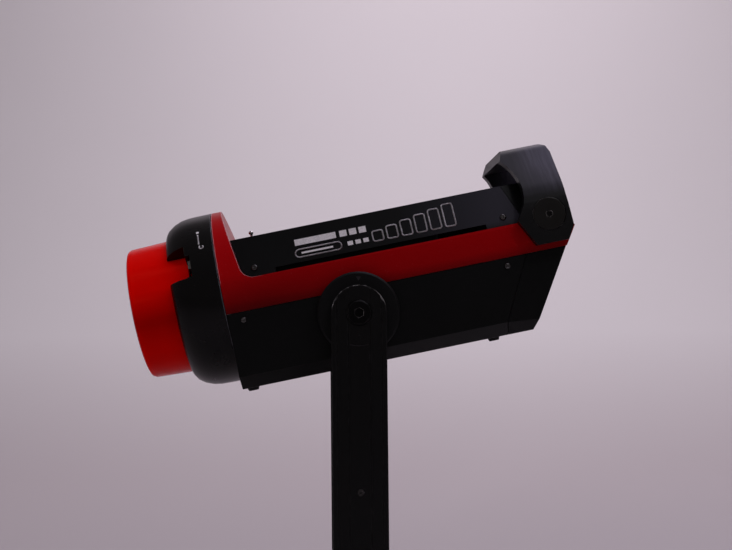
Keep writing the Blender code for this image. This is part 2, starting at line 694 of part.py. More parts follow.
def build_rear_fittings(cover):
    """The exhaust grille in the upper face and the cable socket in the lower one."""
    window = make_tool("grille_window", box("grille_window", (34 * MM, 88 * MM, 20 * MM)), REAR_HIGH)
    combine(cover, window)
    plate_size = (33.4 * MM, 87.4 * MM, 2.5 * MM)
    grille = make_part("rear_grille", box("rear_grille", plate_size), "black_plastic", REAR_HIGH,
                       (0, 0, -1.5 * MM))
    centres = [(x * MM, y * MM, 0) for x in range(-12, 13, 6) for y in (-21, 21)]
    slots = make_tool("grille_slots", boxes("grille_slots", (3.2 * MM, 38 * MM, 20 * MM), centres), REAR_HIGH)
    combine(grille, slots)
    hole = make_tool("socket_hole", cylinder("socket_hole", 11.3 * MM, 20 * MM, 24), REAR_LOW)
    combine(cover, hole)
    profile = mm((0, -11), (8.5, -11), (8.5, 2.5), (13.5, 2.5), (13.5, 0.3), (11, 0.3), (11, -14), (0, -14))
    turned_part("cable_socket", profile, "black_anodised", REAR_LOW, segments=24)
    centres = [(x * MM, y * MM, 0) for x in (-22, -14, 14, 22) for y in (-33, 33)]
    centres += [(x * MM, y * MM, 0) for x in (-6, 2) for y in (-36, 36)]
    vents = boxes("tail_vents", (3.2 * MM, 36 * MM, 20 * MM), centres)
    combine(cover, make_tool("tail_vents", vents, REAR_LOW))


def build_front_plate():
    """The bulkhead behind the mount ring."""
    clear = SKIN + GAP
    shoulder = FLOOR_HALF_WIDTH - 0.8 * MM
    side = SIDE_Y - clear
    top = ROOF_Z - clear
    low = CHAMFER_Z + 1.5 * MM
    reach = HOUSING_TUBE_INNER - 0.6 * MM
    low_angle = 16
    high_angle = math.degrees(math.asin((top - BEAM_HEIGHT) / reach))
    loop = [(-side, low), (-shoulder, FLOOR_Z + clear), (shoulder, FLOOR_Z + clear), (side, low)]
    loop += arc((0, BEAM_HEIGHT), reach, -low_angle, high_angle, 8)
    loop += arc((0, BEAM_HEIGHT), reach, 180 - high_angle, 180 + low_angle, 8)
    hole = arc((0, BEAM_HEIGHT), 46 * MM, 0, 345, 23)
    thickness = 3 * MM
    make_part("front_plate", outline("front_plate", [loop, hole], thickness), "bare_aluminium", LAMP,
              (SEAM_X + GAP + thickness / 2, 0, 0), END_VIEW)


def build_fasteners():
    """Panel screws, feet and the stud on the roof."""
    for side, label in ((-1, "left"), (1, "right")):
        upright = math.radians(-90 * side)
        leaning = side * (LEAN - math.radians(90))
        for x, z, position in ((-91 * MM, 12.9 * MM, "front"), (126 * MM, 12.9 * MM, "rear")):
            build_screw("panel_screw_" + label + "_" + position, (x, side * SIDE_Y, z), upright)
        for x, z, position in ((-74.4 * MM, 52.4 * MM, "front"), (131 * MM, 52.5 * MM, "rear")):
            build_screw("cover_screw_" + label + "_" + position, (x, side * lean_y(z), z), leaning)
        for x, position in ((-95.5 * MM, "front"), (106 * MM, "rear")):
            name = "foot_" + label + "_" + position
            mesh = cylinder(name, 4 * MM, 2.4 * MM, 16, 5 * MM)
            make_part(name, mesh, "rubber", LAMP, (x, side * 48 * MM, FLOOR_Z - GAP - 1.2 * MM))
    stud = mm((0, 9.6), (1.2, 9.3), (2.1, 8.2), (2.1, 7.4), (1.3, 6.3), (1.1, 5.5), (1.1, 1.5), (2.8, 1.3),
              (2.8, 0.3), (0, 0.3))
    turned_part("roof_stud", stud, "steel", LAMP, (-74.7 * MM, 0, ROOF_Z), UPWARD, 12)


def build_screw(name, location, tilt_x):
    rotation = (tilt_x, 0, 0)
    head = mm((0, 1.9), (1.8, 1.8), (2.9, 1.1), (2.9, 0.3), (0, 0.3))
    turned_part(name, head, "black_steel", LAMP, location, rotation, 10)


# ---------------------------------------------------------------- mount and cap

def build_mount_ring():
    """The black bayonet ring, with a groove for the catch and a stepped notch."""
    ring = [(MOUNT_CAVITY_RADIUS, RING_FRONT), *mm((61.7, 144.1), (65.1, 141.7), (68.7, 136.6), (71.1, 130.6),
            (72.2, 124.2), (72.5, 116)), (RING_RADIUS, RING_BACK + 1 * MM), (RING_RADIUS, RING_BACK),
            (GROOVE_OUTER, RING_BACK), (GROOVE_OUTER, GROOVE_FRONT), (GROOVE_INNER, GROOVE_FRONT),
            (GROOVE_INNER, RING_BACK), (MOUNT_THROAT_RADIUS, RING_BACK),
            (MOUNT_THROAT_RADIUS, PLATE_BACK - GAP), (MOUNT_CAVITY_RADIUS, PLATE_BACK - GAP)]
    part = turned_part("mount_ring", ring, "black_anodised", OPTICAL, segments=52, closed=True)
    reach = 40 * MM
    notch = sector("ring_notch", 50 * MM, 80 * MM, NOTCH_START, NOTCH_END, reach)
    combine(part, make_tool("ring_notch", notch, OPTICAL, (0, 0, NOTCH_BACK + reach / 2)))
    step = sector("ring_notch_step", 49 * MM, 81 * MM, NOTCH_START + 0.5, NOTCH_STEP_END, reach)
    combine(part, make_tool("ring_notch_step", step, OPTICAL, (0, 0, NOTCH_STEP_BACK + reach / 2)))
    slot = sector("catch_slot", GROOVE_INNER + 0.5 * MM, GROOVE_OUTER - 1 * MM, NOTCH_START + 1,
                  NOTCH_STEP_END, reach)
    combine(part, make_tool("catch_slot", slot, OPTICAL, (0, 0, GROOVE_FRONT - 1 * MM + reach / 2)))
    pin_hole = make_pin_hole("ring_pin_hole", 80 * MM)
    combine(part, pin_hole)
    return pin_hole


def make_pin_hole(name, length):
    mesh = cylinder(name, PIN_RADIUS + 0.35 * MM, length, 16)
    x, y = around(PIN_ANGLE, PIN_RING_RADIUS)
    return make_tool(name, mesh, OPTICAL, (x, y, PLATE_BACK))


def build_bayonet_plate(pin_hole):
    """The steel plate with three slots that the accessory's lugs pass through."""
    middle = (PLATE_FRONT + PLATE_BACK) / 2
    inner = 46 * MM
    outer = MOUNT_CAVITY_RADIUS - GAP
    half = (PLATE_FRONT - PLATE_BACK) / 2
    ring = [(inner, half), (outer, half), (outer, -half), (inner, -half)]
    plate = turned_part("bayonet_plate", ring, "steel", OPTICAL, (0, 0, middle), segments=48, closed=True)
    half_slot = LUG_SLOT_ANGLE / 2
    for index in range(LUG_COUNT):
        centre = 90 + LUG_TURN + index * 360 / LUG_COUNT
        name = "lug_slot_%d" % index
        slot = sector(name, 40 * MM, MOUNT_THROAT_RADIUS, centre - half_slot, centre + half_slot, 20 * MM)
        combine(plate, make_tool(name, slot, OPTICAL, (0, 0, middle)))
    combine(plate, pin_hole)


def build_cap():
    """The translucent red cap, held behind the plate by three lugs."""
    wall = CAP_WALL
    back = 115.2 * MM
    profile = [(0, CAP_FRONT), (CAP_RADIUS - 3.4 * MM, CAP_FRONT),
               (CAP_RADIUS - 1.2 * MM, CAP_FRONT - 0.9 * MM),
               (CAP_RADIUS, CAP_FRONT - 3.4 * MM), (CAP_REAR_RADIUS, CAP_FLANGE), (NECK_RADIUS, CAP_FLANGE),
               (NECK_RADIUS, back), (NECK_RADIUS - wall, back), (NECK_RADIUS - wall, CAP_FLANGE + wall),
               (CAP_REAR_RADIUS - wall, CAP_FLANGE + wall), (CAP_RADIUS - wall, CAP_FRONT - 3.6 * MM),
               (CAP_RADIUS - wall - 1.6 * MM, CAP_FRONT - wall), (0, CAP_FRONT - wall)]
    cap = turned_part("protective_cap", profile, "red_cap", OPTICAL, segments=44)
    for index in range(LUG_COUNT):
        centre = 90 + index * 360 / LUG_COUNT
        name = "cap_lug_%d" % index
        lug = sector(name, NECK_RADIUS - 1 * MM, MOUNT_THROAT_RADIUS - 0.5 * MM, centre - LUG_ANGLE / 2,
                     centre + LUG_ANGLE / 2, 2.4 * MM)
        combine(cap, make_tool(name, lug, OPTICAL, (0, 0, back + 1.3 * MM)), 'UNION')


def build_catch():
    """The sliding catch in its groove, its spring and the locking pin."""
    arc_bar = sector("release_catch", 60.8 * MM, 68.2 * MM, 8, 40, 3.6 * MM, 8)
    lever = make_part("release_catch", arc_bar, "steel", OPTICAL, (0, 0, 119.6 * MM))
    tab = sector("catch_tab", 61.6 * MM, 67.2 * MM, TAB_START, TAB_END, 7 * MM, 3)
    combine(lever, make_tool("catch_tab", tab, OPTICAL, (0, 0, 123.6 * MM)), 'UNION')
    spring_points = []
    turns = 5
    per_turn = 6
    for index in range(turns * per_turn + 1):
        phase = math.tau * index / per_turn
        angle = 41.5 + 20 * index / (turns * per_turn)
        x, y = around(angle, 64.5 * MM + 2 * MM * math.cos(phase))
        spring_points.append((x, y, 2 * MM * math.sin(phase)))
    spring = wire("catch_spring", spring_points, 0.4 * MM, 6)
    make_part("catch_spring", spring, "steel", OPTICAL, (0, 0, 118.5 * MM))
    x, y = around(PIN_ANGLE, PIN_RING_RADIUS)
    pin = mm((0, 127.6), (1, 127.6), (1.5, 127), (1.5, 108), (0, 108))
    turned_part("lock_pin", pin, "steel", OPTICAL, (x, y, 0), UPWARD, 12)


# ---------------------------------------------------------------- light engine and cooler

def build_light_engine():
    """Window, reflector, emitter and the plate that takes its heat."""
    glass = mm((0, 114.9), (49.2, 114.9), (49.2, 113.5), (0, 113.5))
    turned_part("front_glass", glass, "clear_glass", OPTICAL, segments=28)
    cone = mm((17, 97.2), (42, 112), (49.2, 112), (49.2, 113.2), (41.4, 113.2), (15.8, 97.2))
    turned_part("reflector_cone", cone, "bare_aluminium", OPTICAL, segments=28, closed=True)
    emitter = mm((0, 96.2), (13.6, 96.2), (14, 95.8), (14, 95.1), (0, 95.1))
    turned_part("led_emitter", emitter, "phosphor", OPTICAL, segments=16)
    make_part("led_board", box("led_board", (2.5 * MM, 42 * MM, 42 * MM)), "bare_aluminium", LAMP,
              (-93.55 * MM, 0, BEAM_HEIGHT))
    make_part("cold_plate", box("cold_plate", (8 * MM, 76 * MM, 76 * MM)), "copper", LAMP,
              (-88 * MM, 0, BEAM_HEIGHT))
    for side, label in ((-1, "left"), (1, "right")):
        corner = rounded(mm((-80.4, 62), (-80.4, -28), (62, -28)), 10 * MM, 5, closed=False)
        path = [(x, side * 20 * MM, z) for x, z in corner]
        make_part("heat_pipe_" + label, wire("heat_pipe_" + label, path, 3 * MM, 10), "copper", LAMP)


def build_cooler():
    """Finned heat sink, fan frame and rotor, and the driver board under them."""
    base_low = -24.4 * MM
    base_top = -19.4 * MM
    fin_top = 66 * MM
    half_fin = 0.8 * MM
    half_base = 50 * MM
    loop = [(-half_base, base_low), (half_base, base_low)]
    for index in range(FINS):
        y = (FINS - 1) / 2 * FIN_PITCH - index * FIN_PITCH
        left, right = y - half_fin, y + half_fin
        loop += [(right, base_top), (right, fin_top), (left, fin_top), (left, base_top)]
    loop[2:2] = [(half_base, base_top)]
    loop.append((-half_base, base_top))
    make_part("fin_stack", outline("fin_stack", [loop], 145 * MM), "black_anodised", LAMP, (3 * MM, 0, 0),
              END_VIEW)
    frame = make_part("fan_frame", box("fan_frame", (FAN_SIZE, FAN_SIZE, FAN_DEPTH)), "black_plastic", FAN)
    combine(frame, make_tool("fan_bore", cylinder("fan_bore", 43 * MM, 60 * MM, 28), FAN))
    mount = cylinder("fan_motor_mount", 17 * MM, 3 * MM, 20)
    seat_z = -FAN_DEPTH / 2 + 1.5 * MM
    mount_tool = make_tool("fan_motor_mount", mount, FAN, (0, 0, seat_z))
    spokes = make_tool("fan_spokes", box("fan_spokes", (4 * MM, 88 * MM, 3 * MM)), FAN, (0, 0, seat_z))
    struts = make_tool("fan_struts", box("fan_struts", (88 * MM, 4 * MM, 3 * MM)), FAN, (0, 0, seat_z))
    for tool in (mount_tool, spokes, struts):
        combine(frame, tool, 'UNION')
    motor = mm((0, 11), (14, 11), (17, 9), (17, -8.5), (0, -8.5))
    rotor = turned_part("fan_rotor", motor, "black_plastic", FAN, segments=21)
    bm = bmesh.new()
    for index in range(BLADES):
        turn_matrix = Matrix.Rotation(math.tau * index / BLADES, 4, 'Z')
        reach = Matrix.Translation((28 * MM, 0, 0))
        pitch = Matrix.Rotation(math.radians(38), 4, 'X')
        size = Matrix.Diagonal((26 * MM, 20 * MM, 1.6 * MM, 1.0))
        bmesh.ops.create_cube(bm, size=1.0, matrix=turn_matrix @ reach @ pitch @ size)
    combine(rotor, make_tool("fan_blades", mesh_from_bmesh("fan_blades", bm), FAN), 'UNION')
    make_part("driver_board", box("driver_board", (110 * MM, 90 * MM, 1.6 * MM)), "circuit_board", LAMP,
              (5 * MM, 0, -36.4 * MM))


# ---------------------------------------------------------------- handle

def build_handle():
    """A flat bar bent over the tail; each foot is held by one large flush bolt."""
    path = [(-HANDLE_MID_Y, 15 * MM), (-HANDLE_MID_Y, HANDLE_KINK_Z), (-HANDLE_TOP_Y, HANDLE_TOP_Z),
            (HANDLE_TOP_Y, HANDLE_TOP_Z), (HANDLE_MID_Y, HANDLE_KINK_Z), (HANDLE_MID_Y, 15 * MM)]
    bends = [0, HANDLE_SIDE_BEND, HANDLE_TOP_BEND, HANDLE_TOP_BEND, HANDLE_SIDE_BEND, 0]
    centre_line = [Vector(point) for point in rounded(path, bends, 5, closed=False)]
    offsets = []
    for index, point in enumerate(centre_line):
        before = centre_line[max(index - 1, 0)]
        after = centre_line[min(index + 1, len(centre_line) - 1)]
        into = (point - before).normalized() if index else (after - point).normalized()
        out = (after - point).normalized() if index < len(centre_line) - 1 else into
        bisector = (into + out).normalized()
        normal = Vector((-bisector.y, bisector.x))
        offsets.append(normal * (HANDLE_THICKNESS / 2 / max(0.5, bisector.dot(into))))
    loop = [tuple(point + offset) for point, offset in zip(centre_line, offsets)]
    loop += [tuple(point - offset) for point, offset in reversed(list(zip(centre_line, offsets)))]
    length = 90 * MM
    handle = make_part("handle", outline("handle", [loop], length), "black_paint", LAMP, (165 * MM, 0, 0),
                       END_VIEW)
    waist = arc_through((147.6 * MM, 59 * MM), (149.8 * MM, 76 * MM), (139.8 * MM, 99 * MM), 6)
    silhouette = mm((169, 111.9), (180.4, 105.2), (182.3, 99), (182.4, 60), (183.6, 35), (177.4, 24.2))
    silhouette += mm((151.4, 24.2), (140.2, 45.7)) + waist + mm((143.2, 107), (144.4, 112))
    profile = outline("handle_silhouette", [silhouette], 200 * MM)
    combine(handle, make_tool("handle_silhouette", profile, LAMP, (0, 0, 0), SIDE_VIEW), 'INTERSECT')
    x, z = HANDLE_BOLT
    for side, label in ((-1, "left"), (1, "right")):
        outward = LEFTWARD if side < 0 else RIGHTWARD
        face_y = HANDLE_MID_Y + HANDLE_THICKNESS / 2
        at = (x, side * face_y, z)
        combine(handle, HANDLE_HOLES[label])
        shape = mm((0, -0.2), (12, -0.2), (13.3, -0.7), (13.3, -5), (4, -5), (4, -20), (0, -20))
        bolt = turned_part("handle_bolt_" + label, shape, "black_steel", LAMP, at, outward, 32)
        combine(bolt, hex_socket("handle_bolt_socket_" + label, 5 * MM, 3 * MM, LAMP, at, outward))


def make_handle_hole(side, label):
    """Counterbore and clearance hole for one handle bolt."""
    x, z = HANDLE_BOLT
    outward = LEFTWARD if side < 0 else RIGHTWARD
    face_y = HANDLE_MID_Y + HANDLE_THICKNESS / 2
    profile = mm((0, 8), (13.7, 8), (13.7, -5.3), (4.4, -5.3), (4.4, -24), (0, -24))
    return turned_tool("handle_hole_" + label, profile, LAMP, (x, side * face_y, z), outward, 32)


def arc_through(first, middle, last, steps):
    """Points on the circle through three points."""
    (ax, ay), (bx, by), (cx, cy) = first, middle, last
    d = 2 * (ax * (by - cy) + bx * (cy - ay) + cx * (ay - by))
    a2, b2, c2 = ax * ax + ay * ay, bx * bx + by * by, cx * cx + cy * cy
    centre = Vector(((a2 * (by - cy) + b2 * (cy - ay) + c2 * (ay - by)) / d,
                     (a2 * (cx - bx) + b2 * (ax - cx) + c2 * (bx - ax)) / d))
    radius = (Vector(first) - centre).length
    start, end = Vector(first) - centre, Vector(last) - centre
    points = []
    for step in range(steps + 1):
        direction = start.lerp(end, step / steps).normalized()
        points.append(tuple(centre + direction * radius))
    return points


# ---------------------------------------------------------------- assembly

for old in list(bpy.data.objects):
    bpy.data.objects.remove(old, do_unlink=True)

PARTS = make_collection("studio_light_head")
TOOLS = make_collection("construction_tools")
MATERIALS = {name: make_material(name) for name in COLOURS}

LAMP = make_frame("lamp_frame", None, (0, 0, PIVOT_HEIGHT), (0, -TILT, 0))
OPTICAL = make_frame("optical_frame", LAMP, (0, 0, BEAM_HEIGHT), (0, math.radians(-90), 0))
FAN = make_frame("fan_frame_axis", LAMP, (FAN_X, 0, FAN_Z), (0, math.radians(-90), 0))
REAR_HIGH = make_frame("rear_upper_face", LAMP,
                       (APEX[0] + 21 * MM * REAR_HIGH_SLOPE, 0, APEX[1] + 21 * MM),
                       (0, math.atan2(1, -REAR_HIGH_SLOPE), 0))
REAR_LOW = make_frame("rear_lower_face", LAMP,
                      (APEX[0] - 38 * MM * REAR_LOW_SLOPE, 0, APEX[1] - 38 * MM),
                      (0, math.atan2(1, -REAR_LOW_SLOPE), 0))
HANDLE_HOLES = {label: make_handle_hole(side, label) for side, label in ((-1, "left"), (1, "right"))}

build_yoke()
build_receiver()
build_pivots()
build_red_housing()
build_lower_tray()
build_top_cover()
build_rear_fittings(build_rear_cover())
build_front_plate()
build_fasteners()
build_bayonet_plate(build_mount_ring())
build_cap()
build_catch()
build_light_engine()
build_cooler()
build_handle()
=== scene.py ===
"""Looks for the studio light head: materials, small details, stage, lights and camera."""

import json
import math

import bmesh
import bpy
from mathutils import Matrix, Vector
from mathutils.bvhtree import BVHTree


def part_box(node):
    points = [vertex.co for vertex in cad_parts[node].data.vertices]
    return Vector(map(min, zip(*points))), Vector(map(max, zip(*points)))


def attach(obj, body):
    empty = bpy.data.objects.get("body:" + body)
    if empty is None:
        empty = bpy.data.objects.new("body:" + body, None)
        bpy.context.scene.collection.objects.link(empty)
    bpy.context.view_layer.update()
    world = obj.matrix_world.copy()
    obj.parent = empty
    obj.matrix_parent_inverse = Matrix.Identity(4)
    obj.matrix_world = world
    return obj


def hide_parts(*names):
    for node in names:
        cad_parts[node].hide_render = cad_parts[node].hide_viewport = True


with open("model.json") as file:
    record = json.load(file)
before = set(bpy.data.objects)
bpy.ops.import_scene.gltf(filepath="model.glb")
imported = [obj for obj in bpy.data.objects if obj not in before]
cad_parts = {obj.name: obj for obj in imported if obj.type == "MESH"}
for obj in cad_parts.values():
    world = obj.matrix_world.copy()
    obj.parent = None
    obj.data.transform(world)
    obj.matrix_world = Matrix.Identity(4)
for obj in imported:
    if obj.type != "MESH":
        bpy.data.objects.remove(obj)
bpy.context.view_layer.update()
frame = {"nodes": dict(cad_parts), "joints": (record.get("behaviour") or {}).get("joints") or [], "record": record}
NODES = frame["nodes"]
MM = 0.001

JOINTS = {joint["name"]: joint for joint in frame["joints"]}
PIVOT = Vector(JOINTS["head_tilt"]["pos_m"])
BEAM = Vector(JOINTS["cap_twist"]["axis"]).normalized()
BEAM_POINT = Vector(JOINTS["cap_twist"]["pos_m"])
TILT = math.atan2(-BEAM.z, -BEAM.x)
LAMP = Matrix.Translation(PIVOT) @ Matrix.Rotation(-TILT, 4, 'Y')
BEAM_HEIGHT = (LAMP.inverted() @ BEAM_POINT).z


def node_points(node):
    """A node's corners in the lamp's own axes, from the pivot."""
    return [LAMP.inverted() @ vertex.co for vertex in NODES[node].data.vertices]


RING_REAR = max(point.x for point in node_points("mount_ring"))
CAP_FRONT = max(-point.x for point in node_points("protective_cap"))
BAND_LOW = min(point.z for point in node_points("red_housing") if point.x > 20 * MM)


# ---------------------------------------------------------------- materials

class Shader:
    """One procedural material, built around a Principled shader."""

    def __init__(self, name, colour, roughness, metallic=0.0, **sockets):
        self.material = bpy.data.materials.new(name)
        self.material.use_nodes = True
        self.tree = self.material.node_tree
        self.main = self.tree.nodes["Principled BSDF"]
        self.colour = (*colour, 1.0)
        self.main.inputs["Base Color"].default_value = self.colour
        self.main.inputs["Roughness"].default_value = roughness
        self.main.inputs["Metallic"].default_value = metallic
        for socket, value in sockets.items():
            self.main.inputs[socket.replace("_", " ")].default_value = value
        self.height = None
        self.place = self.add("ShaderNodeTexCoord").outputs["Object"]

    def add(self, kind, **values):
        node = self.tree.nodes.new(kind)
        for key, value in values.items():
            setattr(node, key, value)
        return node

    def link(self, source, target):
        self.tree.links.new(source, target)

    def in_lamp(self):
        """Coordinates along the lamp's own axes, from the pivot."""
        shift = self.add("ShaderNodeVectorMath", operation='SUBTRACT')
        shift.inputs[1].default_value = PIVOT
        self.link(self.place, shift.inputs[0])
        turn = self.add("ShaderNodeVectorRotate", rotation_type='Y_AXIS')
        turn.inputs["Angle"].default_value = TILT
        self.link(shift.outputs[0], turn.inputs["Vector"])
        self.place = turn.outputs[0]

    def stretched(self, scale):
        mapping = self.add("ShaderNodeMapping")
        mapping.inputs["Scale"].default_value = scale
        self.link(self.place, mapping.inputs["Vector"])
        return mapping.outputs[0]

    def noise(self, scale, detail=3.0, stretch=None, roughness=0.5):
        texture = self.add("ShaderNodeTexNoise")
        texture.inputs["Scale"].default_value = scale
        texture.inputs["Detail"].default_value = detail
        texture.inputs["Roughness"].default_value = roughness
        self.link(self.stretched(stretch) if stretch else self.place, texture.inputs["Vector"])
        return texture.outputs["Fac"]

    def remap(self, value, low, high, to_low, to_high):
        node = self.add("ShaderNodeMapRange")
        for index, number in enumerate((low, high, to_low, to_high)):
            node.inputs[index + 1].default_value = number
        self.link(value, node.inputs[0])
        return node.outputs[0]

    def axes(self):
        """The X, Y and Z of the place on the object."""
        split = self.add("ShaderNodeSeparateXYZ")
        self.link(self.place, split.inputs[0])
        return split.outputs

    def maths(self, operation, *values):
        node = self.add("ShaderNodeMath", operation=operation)
        for socket, value in zip(node.inputs, values):
            if isinstance(value, (int, float)):
                socket.default_value = value
            else:
                self.link(value, socket)
        return node.outputs[0]

    def times(self, first, second):
        return self.maths('MULTIPLY', first, second)

    def tint(self, mask, colour):
        """Where the mask is 1, the base colour becomes this one."""
        mix = self.add("ShaderNodeMix", data_type='RGBA')
        self.link(mask, mix.inputs["Factor"])
        base = self.main.inputs["Base Color"]
        if base.is_linked:
            self.link(base.links[0].from_socket, mix.inputs["A"])
        else:
            mix.inputs["A"].default_value = self.colour
        mix.inputs["B"].default_value = (*colour, 1.0)
        self.link(mix.outputs["Result"], base)
        return self

    def rough(self, value):
        self.link(value, self.main.inputs["Roughness"])
        return self

    def bump(self, value, distance, strength=1.0):
        node = self.add("ShaderNodeBump")
        node.inputs["Distance"].default_value = distance
        node.inputs["Strength"].default_value = strength
        self.link(value, node.inputs["Height"])
        if self.height:
            self.link(self.height, node.inputs["Normal"])
        self.height = node.outputs[0]
        self.link(self.height, self.main.inputs["Normal"])
        return self

    def edges(self, radius=0.6 * MM, least=0.15):
        """A mask of worn corners: 0 on flat faces, and between the least and 1 along the broken wear."""
        bevel = self.add("ShaderNodeBevel", samples=4)
        bevel.inputs["Radius"].default_value = radius
        normal = self.add("ShaderNodeNewGeometry").outputs["Normal"]
        dot = self.add("ShaderNodeVectorMath", operation='DOT_PRODUCT')
        self.link(bevel.outputs[0], dot.inputs[0])
        self.link(normal, dot.inputs[1])
        broken = self.remap(self.noise(180.0, 2.0), 0.45, 0.65, least, 1.0)
        return self.times(self.remap(dot.outputs["Value"], 0.97, 0.82, 0.0, 1.0), broken)


def panel_paint():
    """Satin powder coat with faint dust and rubbed corners, and a painted pale bluish sheen above the band at the
    rear.
    """
    shader = Shader("panel_paint", (0.0002, 0.0007, 0.0006), 0.4, Specular_IOR_Level=0.2)
    shader.in_lamp()
    grain = shader.noise(2600.0, 2.0)
    cloud = shader.noise(14.0, 4.0)
    shader.rough(shader.remap(cloud, 0.3, 0.7, 0.36, 0.5))
    dust = shader.remap(shader.noise(900.0, 1.0), 0.70, 0.78, 0.0, 0.35)
    shader.tint(shader.times(dust, cloud), (0.03, 0.03, 0.033))
    axes = shader.axes()
    # painted sheen: the paint turns paler and bluer above the band towards the rear
    painted_sheen_toward_rear = shader.remap(axes["X"], 50 * MM, 130 * MM, 0.0, 1.0)
    above_band = shader.remap(axes["Z"], 44 * MM, 50 * MM, 0.0, 1.0)
    shader.tint(shader.times(painted_sheen_toward_rear, above_band), (0.023, 0.022, 0.032))
    shader.tint(shader.times(shader.edges(), 0.22), (0.05, 0.05, 0.055))
    return shader.bump(grain, 0.03 * MM, 0.5).material


def red_paint():
    """Satin red with painted shade low in front and on the band's lower edge, and a painted pale highlight on the
    collar's rear edge.
    """
    shader = Shader("red_paint", (0.42, 0.0006, 0.0028), 0.38, Specular_IOR_Level=0.14)
    shader.main.inputs["Specular Tint"].default_value = (1.0, 0.4, 0.42, 1.0)
    shader.in_lamp()
    cloud = shader.noise(9.0, 4.0)
    shader.tint(shader.remap(cloud, 0.35, 0.75, 0.0, 0.45), (0.36, 0.0005, 0.002))
    shader.rough(shader.remap(shader.noise(30.0, 5.0), 0.3, 0.7, 0.28, 0.42))
    speck = shader.remap(shader.noise(700.0, 0.0), 0.78, 0.82, 0.0, 0.25)
    shader.tint(speck, (0.5, 0.06, 0.06))
    axes = shader.axes()
    # painted shade: the red darkens low towards the front
    painted_shade_low_front = shader.times(shader.remap(axes["X"], 20 * MM, -70 * MM, 0.0, 1.0),
                               shader.remap(axes["Z"], 50 * MM, 20 * MM, 0.0, 0.9))
    shader.tint(painted_shade_low_front, (0.11, 0.0003, 0.001))
    # painted shade: the band darkens towards its lower edge
    painted_shade_low_edge = shader.remap(axes["Z"], BAND_LOW + 8 * MM, BAND_LOW, 0.0, 0.6)
    shader.tint(painted_shade_low_edge, (0.1, 0.0003, 0.001))
    # painted reflection: a pale pinkish line along the collar's rear edge
    forward = shader.remap(axes["X"], -68 * MM, -76 * MM, 0.0, 1.0)
    upper = shader.remap(axes["Z"], 43 * MM, 48 * MM, 0.0, 1.0)
    collar = shader.times(forward, upper)
    shader.tint(shader.times(shader.edges(0.8 * MM), 0.3), (0.5, 0.06, 0.06))
    shader.tint(shader.times(shader.edges(1.2 * MM, 0.7), collar), (0.95, 0.68, 0.76))
    return shader.bump(shader.noise(2200.0, 2.0), 0.02 * MM, 0.35).material


def cap_plastic():
    """Translucent red plastic with flow marks and scratches, with painted shade across its middle and darker along
    its front edge.
    """
    shader = Shader("cap_plastic", (1.0, 0.0016, 0.0004), 0.22, Transmission_Weight=0.04,
                    Subsurface_Weight=0.5, Subsurface_Scale=0.012, IOR=1.45, Specular_IOR_Level=0.08)
    shader.main.inputs["Specular Tint"].default_value = (1.0, 0.1, 0.03, 1.0)
    shader.main.inputs["Subsurface Radius"].default_value = (1.0, 0.08, 0.04)
    shader.in_lamp()
    flow = shader.noise(10.0, 5.0, (1.0, 3.0, 3.0))
    shader.tint(shader.remap(flow, 0.35, 0.7, 0.0, 0.5), (0.88, 0.001, 0.0003))
    axes = shader.axes()
    # painted shade: a dark band across the cap a little below the beam, fading out within 25 mm
    middle = BEAM_HEIGHT - 10 * MM
    distance_from_painted_shade = shader.maths('ABSOLUTE', shader.maths('SUBTRACT', axes["Z"], middle))
    shader.tint(shader.remap(distance_from_painted_shade, 2 * MM, 25 * MM, 0.85, 0.0), (0.4, 0.0005, 0.0002))
    front = shader.remap(axes["X"], -CAP_FRONT + 3 * MM, -CAP_FRONT + 1 * MM, 0.0, 0.9)
    shader.tint(shader.times(shader.edges(1.2 * MM, 0.8), front), (0.12, 0.03, 0.035))
    scratch = shader.remap(shader.noise(240.0, 3.0, (1.0, 0.06, 0.06)), 0.55, 0.75, 0.0, 1.0)
    shader.rough(shader.maths('ADD', shader.times(scratch, 0.14), 0.13))
    return shader.bump(flow, 0.12 * MM, 0.4).bump(scratch, 0.01 * MM, 0.3).material


def ring_finish():
    """Satin black with rubbed corners and a painted highlight along the ring's rear edge."""
    shader = Shader("ring_finish", (0.0008, 0.0007, 0.0006), 0.3, Specular_IOR_Level=0.22)
    shader.in_lamp()
    fine = shader.noise(1900.0, 2.0)
    shader.rough(shader.remap(shader.noise(22.0, 4.0), 0.3, 0.7, 0.24, 0.36))
    shader.tint(shader.times(shader.edges(0.8 * MM), 0.6), (0.14, 0.135, 0.12))
    # painted highlight: a pale bluish line along the ring's rear edge
    rear = shader.remap(shader.axes()["X"], RING_REAR - 2 * MM, RING_REAR - 1 * MM, 0.0, 1.0)
    shader.tint(shader.times(shader.edges(1.1 * MM, 0.5), rear), (0.3, 0.31, 0.36))
    return shader.bump(fine, 0.03 * MM, 0.45).material


